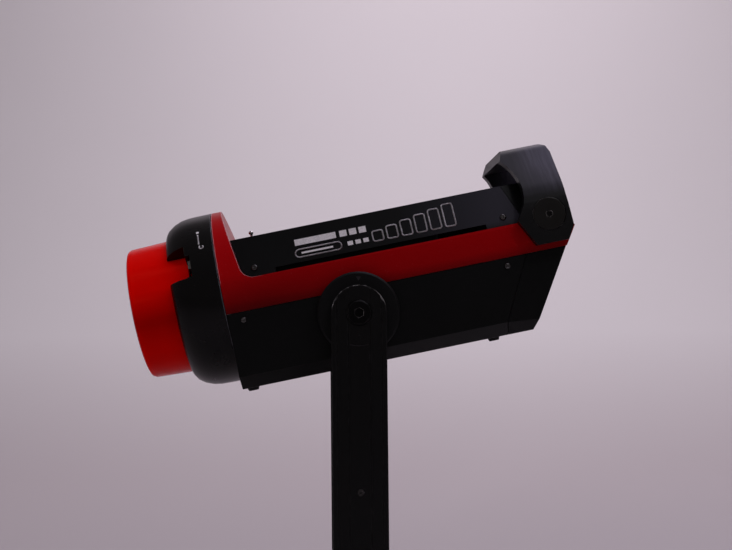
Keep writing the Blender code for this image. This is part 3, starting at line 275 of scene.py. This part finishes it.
def anodised(name, stretch, colour=(0.0006, 0.0009, 0.0008)):
    """Black anodised aluminium with drawing lines and rubbed corners; painted white glints sit on the corners
    round the arms' tops.
    """
    shader = Shader(name, colour, 0.34, Specular_IOR_Level=0.22)
    lines = shader.noise(420.0, 4.0, stretch, 0.65)
    shader.rough(shader.remap(lines, 0.3, 0.7, 0.3, 0.46))
    paler = tuple(1.8 * value for value in colour)
    shader.tint(shader.remap(shader.noise(16.0, 4.0), 0.4, 0.75, 0.0, 0.5), paler)
    # lightened corners: partly wear, partly painted highlight
    worn = shader.edges(0.9 * MM, 0.1)
    shader.tint(shader.times(worn, 0.12), (0.16, 0.16, 0.165))
    axes = shader.axes()
    height = shader.maths('SUBTRACT', axes["Z"], PIVOT.z)
    squares = shader.maths('ADD', shader.maths('POWER', axes["X"], 2.0), shader.maths('POWER', height, 2.0))
    reach = shader.maths('SQRT', squares)
    # painted glints: white arcs on the corners round the arms' rounded tops
    rim = shader.times(shader.remap(reach, 20.4 * MM, 21.2 * MM, 0.0, 1.0),
                       shader.remap(height, 0.0, 6 * MM, 0.0, 1.0))
    shader.tint(shader.times(worn, rim), (0.95, 0.95, 0.95))
    return shader.bump(lines, 0.02 * MM, 0.4).material


def handle_finish():
    """Satin black with fine marks across the bar and small pores, with a painted lavender sheen towards the top
    rear.
    """
    shader = Shader("handle_finish", (0.0055, 0.006, 0.006), 0.34, Specular_IOR_Level=0.2)
    shader.in_lamp()
    brushed = shader.noise(330.0, 5.0, (1.0, 0.07, 0.07), 0.7)
    pores = shader.remap(shader.noise(1500.0, 1.0), 0.66, 0.74, 0.0, 1.0)
    shader.rough(shader.remap(brushed, 0.25, 0.75, 0.34, 0.5))
    axes = shader.axes()
    # painted sheen: paler and more lavender towards the top rear, with brighter brushed marks in it
    painted_sheen = shader.times(shader.remap(axes["X"], 150 * MM, 176 * MM, 0.12, 1.0),
                            shader.remap(axes["Z"], 62 * MM, 90 * MM, 0.0, 1.0))
    shader.tint(painted_sheen, (0.062, 0.059, 0.086))
    marks = shader.remap(brushed, 0.45, 0.7, 0.0, 0.8)
    shader.tint(shader.times(painted_sheen, marks), (0.11, 0.106, 0.14))
    shader.tint(shader.times(shader.edges(), 0.3), (0.07, 0.066, 0.075))
    return shader.bump(brushed, 0.03 * MM, 0.4).bump(pores, 0.04 * MM, 0.3).material


def moulded(name, colour=(0.005, 0.005, 0.0053), scale=1300.0, depth=0.06 * MM):
    """Textured black moulding."""
    shader = Shader(name, colour, 0.46, Specular_IOR_Level=0.18)
    grain = shader.noise(scale, 3.0)
    shader.rough(shader.remap(shader.noise(25.0, 3.0), 0.3, 0.7, 0.48, 0.64))
    shader.tint(shader.remap(grain, 0.55, 0.75, 0.0, 0.6), tuple(2.0 * value for value in colour))
    return shader.bump(grain, depth, 0.6).material


def metal(name, colour, roughness, dark=0.6):
    """Machined metal with turning marks, darker patches and bright corners that are partly wear and partly painted
    highlight.
    """
    shader = Shader(name, colour, roughness, 1.0)
    marks = shader.noise(900.0, 4.0, (1.0, 0.3, 1.0), 0.6)
    shader.rough(shader.remap(marks, 0.3, 0.7, roughness * 0.8, roughness * 1.3))
    darker = tuple(dark * value for value in colour)
    shader.tint(shader.remap(shader.noise(60.0, 4.0), 0.45, 0.75, 0.0, 0.7), darker)
    # bright corners: partly wear, partly painted highlight
    shader.tint(shader.times(shader.edges(0.5 * MM), 0.7), (0.7, 0.69, 0.68))
    return shader.bump(marks, 0.01 * MM, 0.4).material


def black_oxide(name, colour, specular):
    """Blackened steel with painted bright glints on its rim and round its socket."""
    shader = Shader(name, colour, 0.34, Specular_IOR_Level=specular)
    shader.rough(shader.remap(shader.noise(60.0, 4.0), 0.3, 0.7, 0.28, 0.44))
    # painted highlight: bright glints along the rim and round the socket
    shader.tint(shader.edges(0.5 * MM, 0.1), (0.7, 0.68, 0.66))
    return shader.bump(shader.noise(900.0, 4.0), 0.015 * MM, 0.5).material


def glass():
    """Clear glass with faint smears."""
    shader = Shader("window_glass", (0.93, 0.96, 0.96), 0.03, Transmission_Weight=1.0, IOR=1.46)
    smear = shader.noise(35.0, 4.0)
    return shader.rough(shader.remap(smear, 0.5, 0.8, 0.01, 0.12)).material


def phosphor():
    """Yellow phosphor with the dies' faint grid showing through."""
    shader = Shader("phosphor", (0.85, 0.62, 0.06), 0.5, Subsurface_Weight=0.2, Subsurface_Scale=0.002)
    shader.in_lamp()
    cells = shader.add("ShaderNodeTexVoronoi", distance='CHEBYCHEV')
    cells.inputs["Scale"].default_value = 700.0
    cells.inputs["Randomness"].default_value = 0.1
    shader.link(shader.place, cells.inputs["Vector"])
    shader.tint(shader.remap(cells.outputs["Distance"], 0.2, 0.5, 0.0, 0.6), (0.6, 0.36, 0.02))
    return shader.bump(cells.outputs["Distance"], 0.05 * MM, 0.5).material


def circuit_board():
    """Green board with lighter tracks."""
    shader = Shader("circuit_board", (0.012, 0.10, 0.04), 0.4)
    tracks = shader.add("ShaderNodeTexBrick")
    tracks.inputs["Scale"].default_value = 90.0
    tracks.inputs["Mortar Size"].default_value = 0.03
    shader.link(shader.place, tracks.inputs["Vector"])
    shader.tint(tracks.outputs["Fac"], (0.03, 0.19, 0.07))
    return shader.bump(tracks.outputs["Fac"], 0.03 * MM, 0.6).material


def ink(name, colour, thin):
    """Screen print, a little thin in places."""
    shader = Shader(name, colour, 0.5, Specular_IOR_Level=0.2)
    wear = shader.remap(shader.noise(700.0, 3.0), 0.35, 0.6, 0.0, 0.5)
    return shader.tint(wear, thin).bump(wear, 0.01 * MM, 0.5).material


ALONG_X = (0.02, 1.0, 1.0)
ALONG_Z = (1.0, 1.0, 0.02)
ALONG_Y = (1.0, 0.02, 1.0)

MATERIALS = {
    "panel_paint": panel_paint(),
    "red_paint": red_paint(),
    "cap_plastic": cap_plastic(),
    "ring_finish": ring_finish(),
    "arm_anodised": anodised("arm_anodised", ALONG_Z),
    "bar_anodised": anodised("bar_anodised", ALONG_Y),
    "hub_anodised": moulded("hub_anodised", (0.0024, 0.0028, 0.0028), 2200.0, 0.02 * MM),
    "fin_anodised": anodised("fin_anodised", ALONG_X, (0.004, 0.004, 0.0043)),
    "handle_finish": handle_finish(),
    "tail_moulding": moulded("tail_moulding", (0.0002, 0.0007, 0.0006)),
    "knob_moulding": moulded("knob_moulding", (0.006, 0.006, 0.0064), 900.0, 0.1 * MM),
    "rubber": moulded("rubber", (0.008, 0.008, 0.008), 1800.0),
    "steel": metal("steel", (0.58, 0.57, 0.56), 0.24),
    "black_steel": metal("black_steel", (0.05, 0.048, 0.046), 0.3, 0.5),
    "black_oxide": black_oxide("black_oxide", (0.0004, 0.0005, 0.0005), 0.12),
    # a paler copy of the blackened steel, used for the handle bolts
    "paler_oxide": black_oxide("paler_oxide", (0.0085, 0.0082, 0.0068), 0.24),
    "aluminium": metal("aluminium", (0.72, 0.72, 0.73), 0.3, 0.85),
    "bright_screw": metal("bright_screw", (0.1, 0.097, 0.094), 0.16, 0.4),
    "catch_steel": metal("catch_steel", (0.27, 0.28, 0.25), 0.3, 0.5),
    "copper": metal("copper", (0.72, 0.34, 0.2), 0.32, 0.7),
    "brass": metal("brass", (0.78, 0.56, 0.22), 0.25, 0.8),
    "phosphor": phosphor(),
    "circuit_board": circuit_board(),
    "window_glass": glass(),
    "pale_ink": ink("pale_ink", (0.9, 0.88, 0.9), (0.6, 0.58, 0.6)),
    "faint_ink": ink("faint_ink", (0.03, 0.026, 0.03), (0.015, 0.013, 0.015)),
}

FINISH = {
    "panel_paint": ("top_cover", "lower_tray"),
    "red_paint": ("red_housing",),
    "cap_plastic": ("protective_cap",),
    "ring_finish": ("mount_ring",),
    "arm_anodised": ("yoke_arm_left", "yoke_arm_right", "stand_receiver"),
    "bar_anodised": ("yoke_base",),
    "hub_anodised": ("tilt_hub_left", "tilt_hub_right", "cable_socket"),
    "fin_anodised": ("fin_stack",),
    "handle_finish": ("handle",),
    "tail_moulding": ("rear_cover", "rear_grille", "fan_frame", "fan_rotor"),
    "knob_moulding": ("stand_lock_knob", "tilt_lock_lever"),
    "rubber": ("foot_left_front", "foot_left_rear", "foot_right_front", "foot_right_rear"),
    "steel": ("bayonet_plate", "catch_spring", "lock_pin", "roof_stud", "stand_lock_screw",
              "tilt_lock_shaft"),
    "catch_steel": ("release_catch",),
    "black_oxide": ("pivot_screw_left",),
    "paler_oxide": ("handle_bolt_left", "handle_bolt_right"),
    "black_steel": ("receiver_bolt", "arm_setscrew_left", "arm_setscrew_right", "arm_screw_left_front",
                    "arm_screw_left_rear", "arm_screw_right_front", "arm_screw_right_rear"),
    "aluminium": ("front_plate", "led_board", "reflector_cone"),
    "copper": ("cold_plate", "heat_pipe_left", "heat_pipe_right"),
    "phosphor": ("led_emitter",),
    "circuit_board": ("driver_board",),
    "window_glass": ("front_glass",),
}


for finish, members in FINISH.items():
    for member in members:
        NODES[member].data.materials.clear()
        NODES[member].data.materials.append(MATERIALS[finish])


# ---------------------------------------------------------------- softened edges and smooth shading

SOFT_EDGES = {
    "top_cover": 0.35, "lower_tray": 0.35, "red_housing": 0.35, "rear_cover": 0.4, "handle": 0.7,
    "yoke_arm_left": 0.8, "yoke_arm_right": 0.8, "yoke_base": 0.5, "mount_ring": 0.6, "protective_cap": 0.3,
    "tilt_hub_left": 0.4, "tilt_hub_right": 0.4, "stand_receiver": 0.4, "stand_lock_knob": 0.4,
    "tilt_lock_lever": 0.5, "pivot_screw_left": 0.4, "handle_bolt_left": 0.3, "handle_bolt_right": 0.3,
}


def smoothing_group():
    """Smooth shading across edges of up to 33 degrees, sharp across the rest."""
    group = bpy.data.node_groups.new("smooth_below_33_degrees", 'GeometryNodeTree')
    group.interface.new_socket("Geometry", in_out='INPUT', socket_type='NodeSocketGeometry')
    group.interface.new_socket("Geometry", in_out='OUTPUT', socket_type='NodeSocketGeometry')
    nodes, links = group.nodes, group.links
    source, sink = nodes.new("NodeGroupInput"), nodes.new("NodeGroupOutput")
    clear = nodes.new("GeometryNodeRemoveAttribute")
    clear.inputs["Name"].default_value = "custom_normal"
    faces = nodes.new("GeometryNodeSetShadeSmooth")
    edges = nodes.new("GeometryNodeSetShadeSmooth")
    edges.domain = 'EDGE'
    angle = nodes.new("GeometryNodeInputMeshEdgeAngle")
    below = nodes.new("FunctionNodeCompare")
    below.operation = 'LESS_THAN'
    below.inputs["B"].default_value = math.radians(33)
    links.new(source.outputs[0], clear.inputs["Geometry"])
    links.new(clear.outputs[0], faces.inputs["Geometry"])
    links.new(faces.outputs[0], edges.inputs["Geometry"])
    links.new(angle.outputs["Unsigned Angle"], below.inputs["A"])
    links.new(below.outputs[0], edges.inputs["Shade Smooth"])
    links.new(edges.outputs[0], sink.inputs[0])
    return group


SMOOTHING = smoothing_group()


def finish_surface(obj, width=0.0):
    """Joins split corners, rounds sharp edges a little and keeps flat faces flat."""
    weld = obj.modifiers.new("weld", 'WELD')
    weld.merge_threshold = 0.002 * MM
    if width:
        bevel = obj.modifiers.new("soften", 'BEVEL')
        bevel.width = width * MM
        bevel.segments = 2
        bevel.limit_method = 'ANGLE'
        bevel.angle_limit = math.radians(32)
    smooth = obj.modifiers.new("smooth", 'NODES')
    smooth.node_group = SMOOTHING
    weighted = obj.modifiers.new("weighted", 'WEIGHTED_NORMAL')
    weighted.mode = 'FACE_AREA_WITH_ANGLE'
    weighted.keep_sharp = True


for node_name, node_object in NODES.items():
    finish_surface(node_object, SOFT_EDGES.get(node_name, 0.0))


# ---------------------------------------------------------------- small pieces

def new_piece(name, bm, material, body):
    """Makes a piece that moves with a body, in one of the scene's materials."""
    bmesh.ops.remove_doubles(bm, verts=bm.verts, dist=0.001 * MM)
    bmesh.ops.recalc_face_normals(bm, faces=bm.faces)
    mesh = bpy.data.meshes.new(name)
    bm.to_mesh(mesh)
    bm.free()
    obj = bpy.data.objects.new(name, mesh)
    bpy.context.scene.collection.objects.link(obj)
    obj.data.materials.append(MATERIALS[material])
    finish_surface(obj)
    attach(obj, body)
    return obj


def stack_rings(bm, rings):
    """Skins a list of rings of points and closes both ends."""
    rows = [[bm.verts.new(point) for point in ring] for ring in rings]
    for low, high in zip(rows, rows[1:]):
        for index in range(len(low)):
            after = (index + 1) % len(low)
            bm.faces.new((low[index], low[after], high[after], high[index]))
    bm.faces.new(rows[0])
    bm.faces.new(rows[-1])


def circle(radius, height, steps=24, corners=0):
    """A ring of points; with corners it is a polygon of that many sides and this inner radius."""
    points = []
    for step in range(steps):
        angle = math.tau * step / steps
        reach = radius
        if corners:
            sector = math.tau / corners
            reach = radius / math.cos(angle % sector - sector / 2)
        points.append((reach * math.cos(angle), reach * math.sin(angle), height))
    return points


def at_surface(centre, normal):
    """A frame whose Z is the outward normal."""
    turn = normal.to_track_quat('Z', 'Y').to_matrix().to_4x4()
    return Matrix.Translation(centre) @ turn


def button_screw(name, matrix, radius, height, socket, body, replaced=None, material="black_steel"):
    """A domed screw head with a hexagon socket."""
    bm = bmesh.new()
    rings = [circle(radius, 0.0), circle(radius, 0.35 * height), circle(0.93 * radius, 0.62 * height),
             circle(0.78 * radius, 0.86 * height), circle(0.62 * radius, height),
             circle(1.12 * socket, height, corners=6), circle(socket, 0.92 * height, corners=6),
             circle(socket, 0.25 * height, corners=6), circle(0.4 * socket, 0.12 * height)]
    stack_rings(bm, rings)
    bmesh.ops.transform(bm, matrix=matrix, verts=bm.verts)
    obj = new_piece(name, bm, material, body)
    if replaced:
        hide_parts(replaced)


COVER_POINTS = node_points("top_cover")
COVER_LOW = max(COVER_POINTS, key=lambda point: (round(abs(point.y), 5), -point.z))
ROOF_Z = max(point.z for point in COVER_POINTS)
ROOF_Y = max(abs(point.y) for point in COVER_POINTS if point.z > ROOF_Z - 0.05 * MM)
LEAN = math.atan2(abs(COVER_LOW.y) - ROOF_Y, ROOF_Z - COVER_LOW.z)
TURN = LAMP.to_3x3()
SIDES = ((-1, "left"), (1, "right"))


def replace_screws():
    """Puts a domed head with a socket in place of each cover and panel screw."""
    for side, label in SIDES:
        for kind, normal in (("panel", Vector((0, side, 0))),
                             ("cover", Vector((0, side * math.cos(LEAN), math.sin(LEAN))))):
            for position in ("front", "rear"):
                node = "%s_screw_%s_%s" % (kind, label, position)
                points = node_points(node)
                centre = sum(points, Vector()) / len(points)
                seat = min(point.dot(normal) for point in points)
                foot = centre + normal * (seat - centre.dot(normal))
                matrix = at_surface(LAMP @ foot, TURN @ normal)
                button_screw("detailed_" + node, matrix, 2.6 * MM, 1.5 * MM, 1.15 * MM, "head", node,
                             "bright_screw")


replace_screws()
button_screw("roof_screw", at_surface(LAMP @ Vector((-87 * MM, 0, ROOF_Z)), TURN @ Vector((0, 0, 1))),
             2.7 * MM, 3.4 * MM, 1.3 * MM, "head")


# ---------------------------------------------------------------- printed marks

def tree_of(node):
    bm = bmesh.new()
    bm.from_mesh(NODES[node].data)
    tree = BVHTree.FromBMesh(bm)
    bm.free()
    return tree


class Print:
    """Thin raised ink laid on a CAD surface; place(u, v) gives a ray's start and direction."""

    def __init__(self, node, place):
        self.tree = tree_of(node)
        self.place = place
        self.bm = bmesh.new()

    def patch(self, grid):
        """A closed patch of ink over rows of (u, v) points."""
        high, low = [], []
        for row in grid:
            tops, bottoms = [], []
            for u, v in row:
                start, direction = self.place(u, v)
                hit = self.tree.ray_cast(start, direction)[0]
                tops.append(self.bm.verts.new(hit - direction * 0.06 * MM))
                bottoms.append(self.bm.verts.new(hit + direction * 0.05 * MM))
            high.append(tops)
            low.append(bottoms)
        rows, columns = len(grid), len(grid[0])
        for i in range(rows - 1):
            for j in range(columns - 1):
                for layer in (high, low):
                    self.bm.faces.new((layer[i][j], layer[i][j + 1], layer[i + 1][j + 1], layer[i + 1][j]))
        rim = [(0, j) for j in range(columns)] + [(i, columns - 1) for i in range(1, rows)]
        rim += [(rows - 1, j) for j in range(columns - 2, -1, -1)] + [(i, 0) for i in range(rows - 2, 0, -1)]
        for (a, b), (c, d) in zip(rim, rim[1:] + rim[:1]):
            self.bm.faces.new((high[a][b], high[c][d], low[c][d], low[a][b]))

    def stroke(self, points, width, closed=False):
        """A line of ink of one width through the points."""
        count = len(points)
        inner, outer = [], []
        for index, point in enumerate(points):
            before = points[index - 1] if closed or index else point
            after = points[(index + 1) % count] if closed or index < count - 1 else point
            along = Vector((after[0] - before[0], after[1] - before[1])).normalized()
            across = Vector((-along.y, along.x)) * width / 2
            inner.append((point[0] - across.x, point[1] - across.y))
            outer.append((point[0] + across.x, point[1] + across.y))
        steps = range(count if closed else count - 1)
        for index in steps:
            after = (index + 1) % count
            self.patch([[inner[index], inner[after]], [outer[index], outer[after]]])

    def done(self, name, material, body):
        new_piece(name, self.bm, material, body)


def pill(u, v, length, height, corner, steps=5):
    """The outline of a rounded bar, from its lower left corner."""
    points = []
    left, right = u + corner, u + length - corner
    low, high = v + corner, v + height - corner
    for index, (cu, cv) in enumerate(((right, high), (left, high), (left, low), (right, low))):
        for step in range(steps + 1):
            angle = math.radians(90 * index + 90 * step / steps)
            points.append((cu + corner * math.cos(angle), cv + corner * math.sin(angle)))
    return points


def bar(ink, u, v, length, height):
    """A filled bar from its lower left corner, in columns of at most 6 mm."""
    columns = max(2, math.ceil(length / (6 * MM)) + 1)
    line = [u + length * index / (columns - 1) for index in range(columns)]
    ink.patch([[(x, v) for x in line], [(x, v + height) for x in line]])


def cover_marks(side, label):
    """Generic marks: a bar, an outlined pill, three blocks and a row of rising level frames."""
    outward = Vector((0, side * math.cos(LEAN), math.sin(LEAN)))
    up = Vector((0, -side * math.sin(LEAN), math.cos(LEAN)))
    along = Vector((-side, 0, 0))
    middle = Vector((24 * MM, side * abs(COVER_LOW.y), COVER_LOW.z))

    def place(u, v):
        return LAMP @ (middle + along * u + up * v + outward * 4 * MM), TURN @ -outward

    ink = Print("top_cover", place)
    left = -63 * MM
    bar(ink, left, 18.8 * MM, 34 * MM, 5.4 * MM)
    for index in range(3):
        bar(ink, left + (37 + 8 * index) * MM, 18.8 * MM, 6 * MM, 5.4 * MM)
    ink.stroke(pill(left - 1 * MM, 8.4 * MM, 38 * MM, 6.8 * MM, 3.3 * MM), 1.0 * MM, True)
    bar(ink, left + 4 * MM, 11 * MM, 26 * MM, 1.6 * MM)
    for index in range(3):
        bar(ink, left + (42 + 6.5 * index) * MM, 10 * MM, 4.4 * MM, 3.6 * MM)
    for index in range(6):
        ink.stroke(pill(left + (63 + 12 * index) * MM, 9 * MM, 8.6 * MM, (9 + 2.2 * index) * MM, 1.6 * MM, 3),
                   1.15 * MM, True)
    ink.done("cover_marks_" + label, "pale_ink", "head")


def arc_line(centre_u, centre_v, radius, start, end, steps):
    """Points along an arc; the angles are in degrees."""
    points = []
    for step in range(steps + 1):
        angle = math.radians(start + (end - start) * step / steps)
        points.append((centre_u + radius * math.cos(angle), centre_v + radius * math.sin(angle)))
    return points


def ring_marks():
    """A plain lock sign on the ring: a dot, a shaft and an open hook, along the ring's curve."""
    radius = 72 * MM

    def place(x, along):
        turn = along / radius
        radial = Vector((0, -math.cos(turn), math.sin(turn)))
        return LAMP @ (radial * 90 * MM + Vector((x, 0, BEAM_HEIGHT))), TURN @ -radial

    ink = Print("mount_ring", place)
    x, low = -115.6 * MM, 41 * MM
    bar(ink, x - 1.1 * MM, low + 19.4 * MM, 2.2 * MM, 2.2 * MM)
    ink.stroke([(x, low + step * 1.6 * MM) for step in range(4, 12)], 1.1 * MM)
    ink.stroke(arc_line(x + 1.6 * MM, low + 3.2 * MM, 1.7 * MM, 120, 400, 9), 1.1 * MM)
    ink.done("ring_lock_sign", "pale_ink", "head")


BODY_OF = {node: body for body, nodes in frame["record"]["behaviour"]["bodies"].items() for node in nodes}


def yoke_marks(side, label):
    """A faint index on the hub, a faint arc on the arm and a small dark stop pin under the pivot."""
    hub, arm = "tilt_hub_" + label, "yoke_arm_" + label

    def place(u, v):
        return PIVOT + Vector((u, side * 110 * MM, v)), Vector((0, -side, 0))

    index = Print(hub, place)
    index.patch([[(-1.9 * MM, 28.8 * MM), (1.9 * MM, 28.8 * MM)],
                 [(-0.2 * MM, 25.6 * MM), (0.2 * MM, 25.6 * MM)]])
    index.done("hub_index_" + label, "faint_ink", BODY_OF[hub])
    mark = Print(arm, place)
    mark.stroke(arc_line(0, 0, 26 * MM, -106, -74, 10), 0.5 * MM)
    mark.done("arm_arc_" + label, "faint_ink", BODY_OF[arm])
    face_y = max(abs(corner[1]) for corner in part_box(arm))
    pin = at_surface(Vector((0, side * face_y, PIVOT.z - 19 * MM)), Vector((0, side, 0)))
    button_screw("stop_pin_" + label, pin, 1.5 * MM, 0.35 * MM, 0.75 * MM, BODY_OF[arm],
                 material="hub_anodised")


REAR_SLOPE = 34 / 54.7


def socket_contacts():
    """The insulator and its four pins inside the cable socket."""
    points = node_points("cable_socket")
    normal = Vector((1, 0, -REAR_SLOPE)).normalized()
    centre = sum(points, Vector()) / len(points)
    mouth = max(point.dot(normal) for point in points)
    matrix = at_surface(LAMP @ (centre + normal * (mouth - centre.dot(normal))), TURN @ normal)
    bm = bmesh.new()
    stack_rings(bm, [circle(8.2 * MM, -12.8 * MM), circle(8.2 * MM, -8.4 * MM), circle(7.8 * MM, -8 * MM),
                     circle(2.2 * MM, -8 * MM), circle(2.2 * MM, -8.6 * MM)])
    bmesh.ops.transform(bm, matrix=matrix, verts=bm.verts)
    new_piece("socket_insulator", bm, "knob_moulding", "head")
    for index in range(4):
        angle = math.radians(45 + 90 * index)
        place = matrix @ Matrix.Translation((4.6 * MM * math.cos(angle), 4.6 * MM * math.sin(angle), 0))
        bm = bmesh.new()
        stack_rings(bm, [circle(0.95 * MM, -8.2 * MM, 12), circle(0.95 * MM, -4.4 * MM, 12),
                         circle(0.7 * MM, -3.8 * MM, 12), circle(0.3 * MM, -3.5 * MM, 12)])
        bmesh.ops.transform(bm, matrix=place, verts=bm.verts)
        new_piece("socket_pin_%d" % (index + 1), bm, "brass", "head")


ring_marks()
socket_contacts()
for mark_side, mark_label in SIDES:
    cover_marks(mark_side, mark_label)
    yoke_marks(mark_side, mark_label)


# ---------------------------------------------------------------- stage, lights and camera

CAMERA_ANGLES = (2.05, 2.28, 0.55)
CAMERA_PLACE = (-0.028, -1.035, -0.008)
CAMERA_LENS = 59.0


def cyclorama():
    """A pale floor that sweeps up into the wall behind the object."""
    half_width, front, wall, sweep, top = 6.0, -5.0, 2.6, 1.4, 5.0
    floor_z = -0.02
    outline = [(front, floor_z), (wall - sweep, floor_z)]
    for step in range(1, 25):
        angle = math.radians(90 * step / 24)
        outline.append((wall - sweep + sweep * math.sin(angle), floor_z + sweep * (1 - math.cos(angle))))
    outline.append((wall, top))
    bm = bmesh.new()
    rows = [(bm.verts.new((-half_width, y, z)), bm.verts.new((half_width, y, z))) for y, z in outline]
    for (a, b), (c, d) in zip(rows, rows[1:]):
        bm.faces.new((a, b, d, c))
    mesh = bpy.data.meshes.new("cyclorama")
    bm.to_mesh(mesh)
    bm.free()
    mesh.shade_smooth()
    obj = bpy.data.objects.new("cyclorama", mesh)
    bpy.context.scene.collection.objects.link(obj)
    shader = Shader("backdrop_paper", (0.71, 0.70, 0.71), 0.9)
    shader.tint(shader.remap(shader.noise(0.8, 3.0), 0.3, 0.7, 0.0, 0.6), (0.66, 0.65, 0.66))
    shader.tint(shader.remap(shader.axes()["Z"], 0.25, floor_z, 0.0, 1.0), (0.52, 0.485, 0.5))
    shader.bump(shader.noise(5.0, 4.0), 2.0 * MM, 0.2)
    obj.data.materials.append(shader.material)


def place_light(data, place, target, glossy):
    """Hangs a light at a place, aimed at a target."""
    obj = bpy.data.objects.new(data.name, data)
    obj.location = place
    obj.rotation_euler = (Vector(target) - Vector(place)).to_track_quat('-Z', 'Y').to_euler()
    obj.visible_glossy = glossy
    bpy.context.scene.collection.objects.link(obj)


def area_light(name, place, target, size, power, colour=(1.0, 1.0, 1.0), glossy=True):
    data = bpy.data.lights.new(name, 'AREA')
    data.shape = 'RECTANGLE'
    data.size, data.size_y = size
    data.energy = power
    data.color = colour
    place_light(data, place, target, glossy)


def snoot_light(name, place, target, cone, power):
    """A soft narrow cone without a highlight of its own; the angle is in degrees."""
    data = bpy.data.lights.new(name, 'SPOT')
    data.energy = power
    data.spot_size = math.radians(cone)
    data.spot_blend = 1.0
    data.shadow_soft_size = 0.1
    place_light(data, place, target, False)


def make_camera():
    """Looks along +Y, a little from the left and below the lamp, rolled half a degree."""
    yaw, pitch, roll = (math.radians(value) for value in CAMERA_ANGLES)
    data = bpy.data.cameras.new("camera")
    data.sensor_width = 36.0
    data.lens = CAMERA_LENS
    obj = bpy.data.objects.new("camera", data)
    look = Matrix.Rotation(-yaw, 4, 'Z') @ Matrix.Rotation(math.radians(90) + pitch, 4, 'X')
    stand = Matrix.Translation(PIVOT + Vector(CAMERA_PLACE))
    obj.matrix_world = stand @ look @ Matrix.Rotation(-roll, 4, 'Z')
    bpy.context.scene.collection.objects.link(obj)
    bpy.context.scene.camera = obj


cyclorama()
make_camera()
area_light("ceiling_softbox", (0.5, -0.15, 1.7), (0.15, -0.1, 0.3), (1.3, 1.3), 7.4, (0.86, 0.8, 1.0))
area_light("key_right", (0.75, -1.2, 1.6), (0.0, 0.0, 0.3), (0.16, 0.16), 2.2)
area_light("key_left", (-0.7, -0.5, 1.3), (-0.12, 0.0, 0.35), (0.3, 0.3), 1.3, (1.0, 0.95, 0.9), False)
snoot_light("cap_snoot", (-0.62, -1.0, 0.62), (-0.19, 0.0, 0.315), 9.0, 15.0)
area_light("backdrop_wash", (0.42, 1.35, 2.7), (0.3, 2.6, 1.15), (1.3, 0.5), 38.0, (1.0, 0.89, 0.97))
world = bpy.data.worlds.new("studio")
world.use_nodes = True
world.node_tree.nodes["Background"].inputs["Color"].default_value = (0.15, 0.132, 0.142, 1.0)
bpy.context.scene.world = world
bpy.context.scene.view_settings.view_transform = 'Standard'
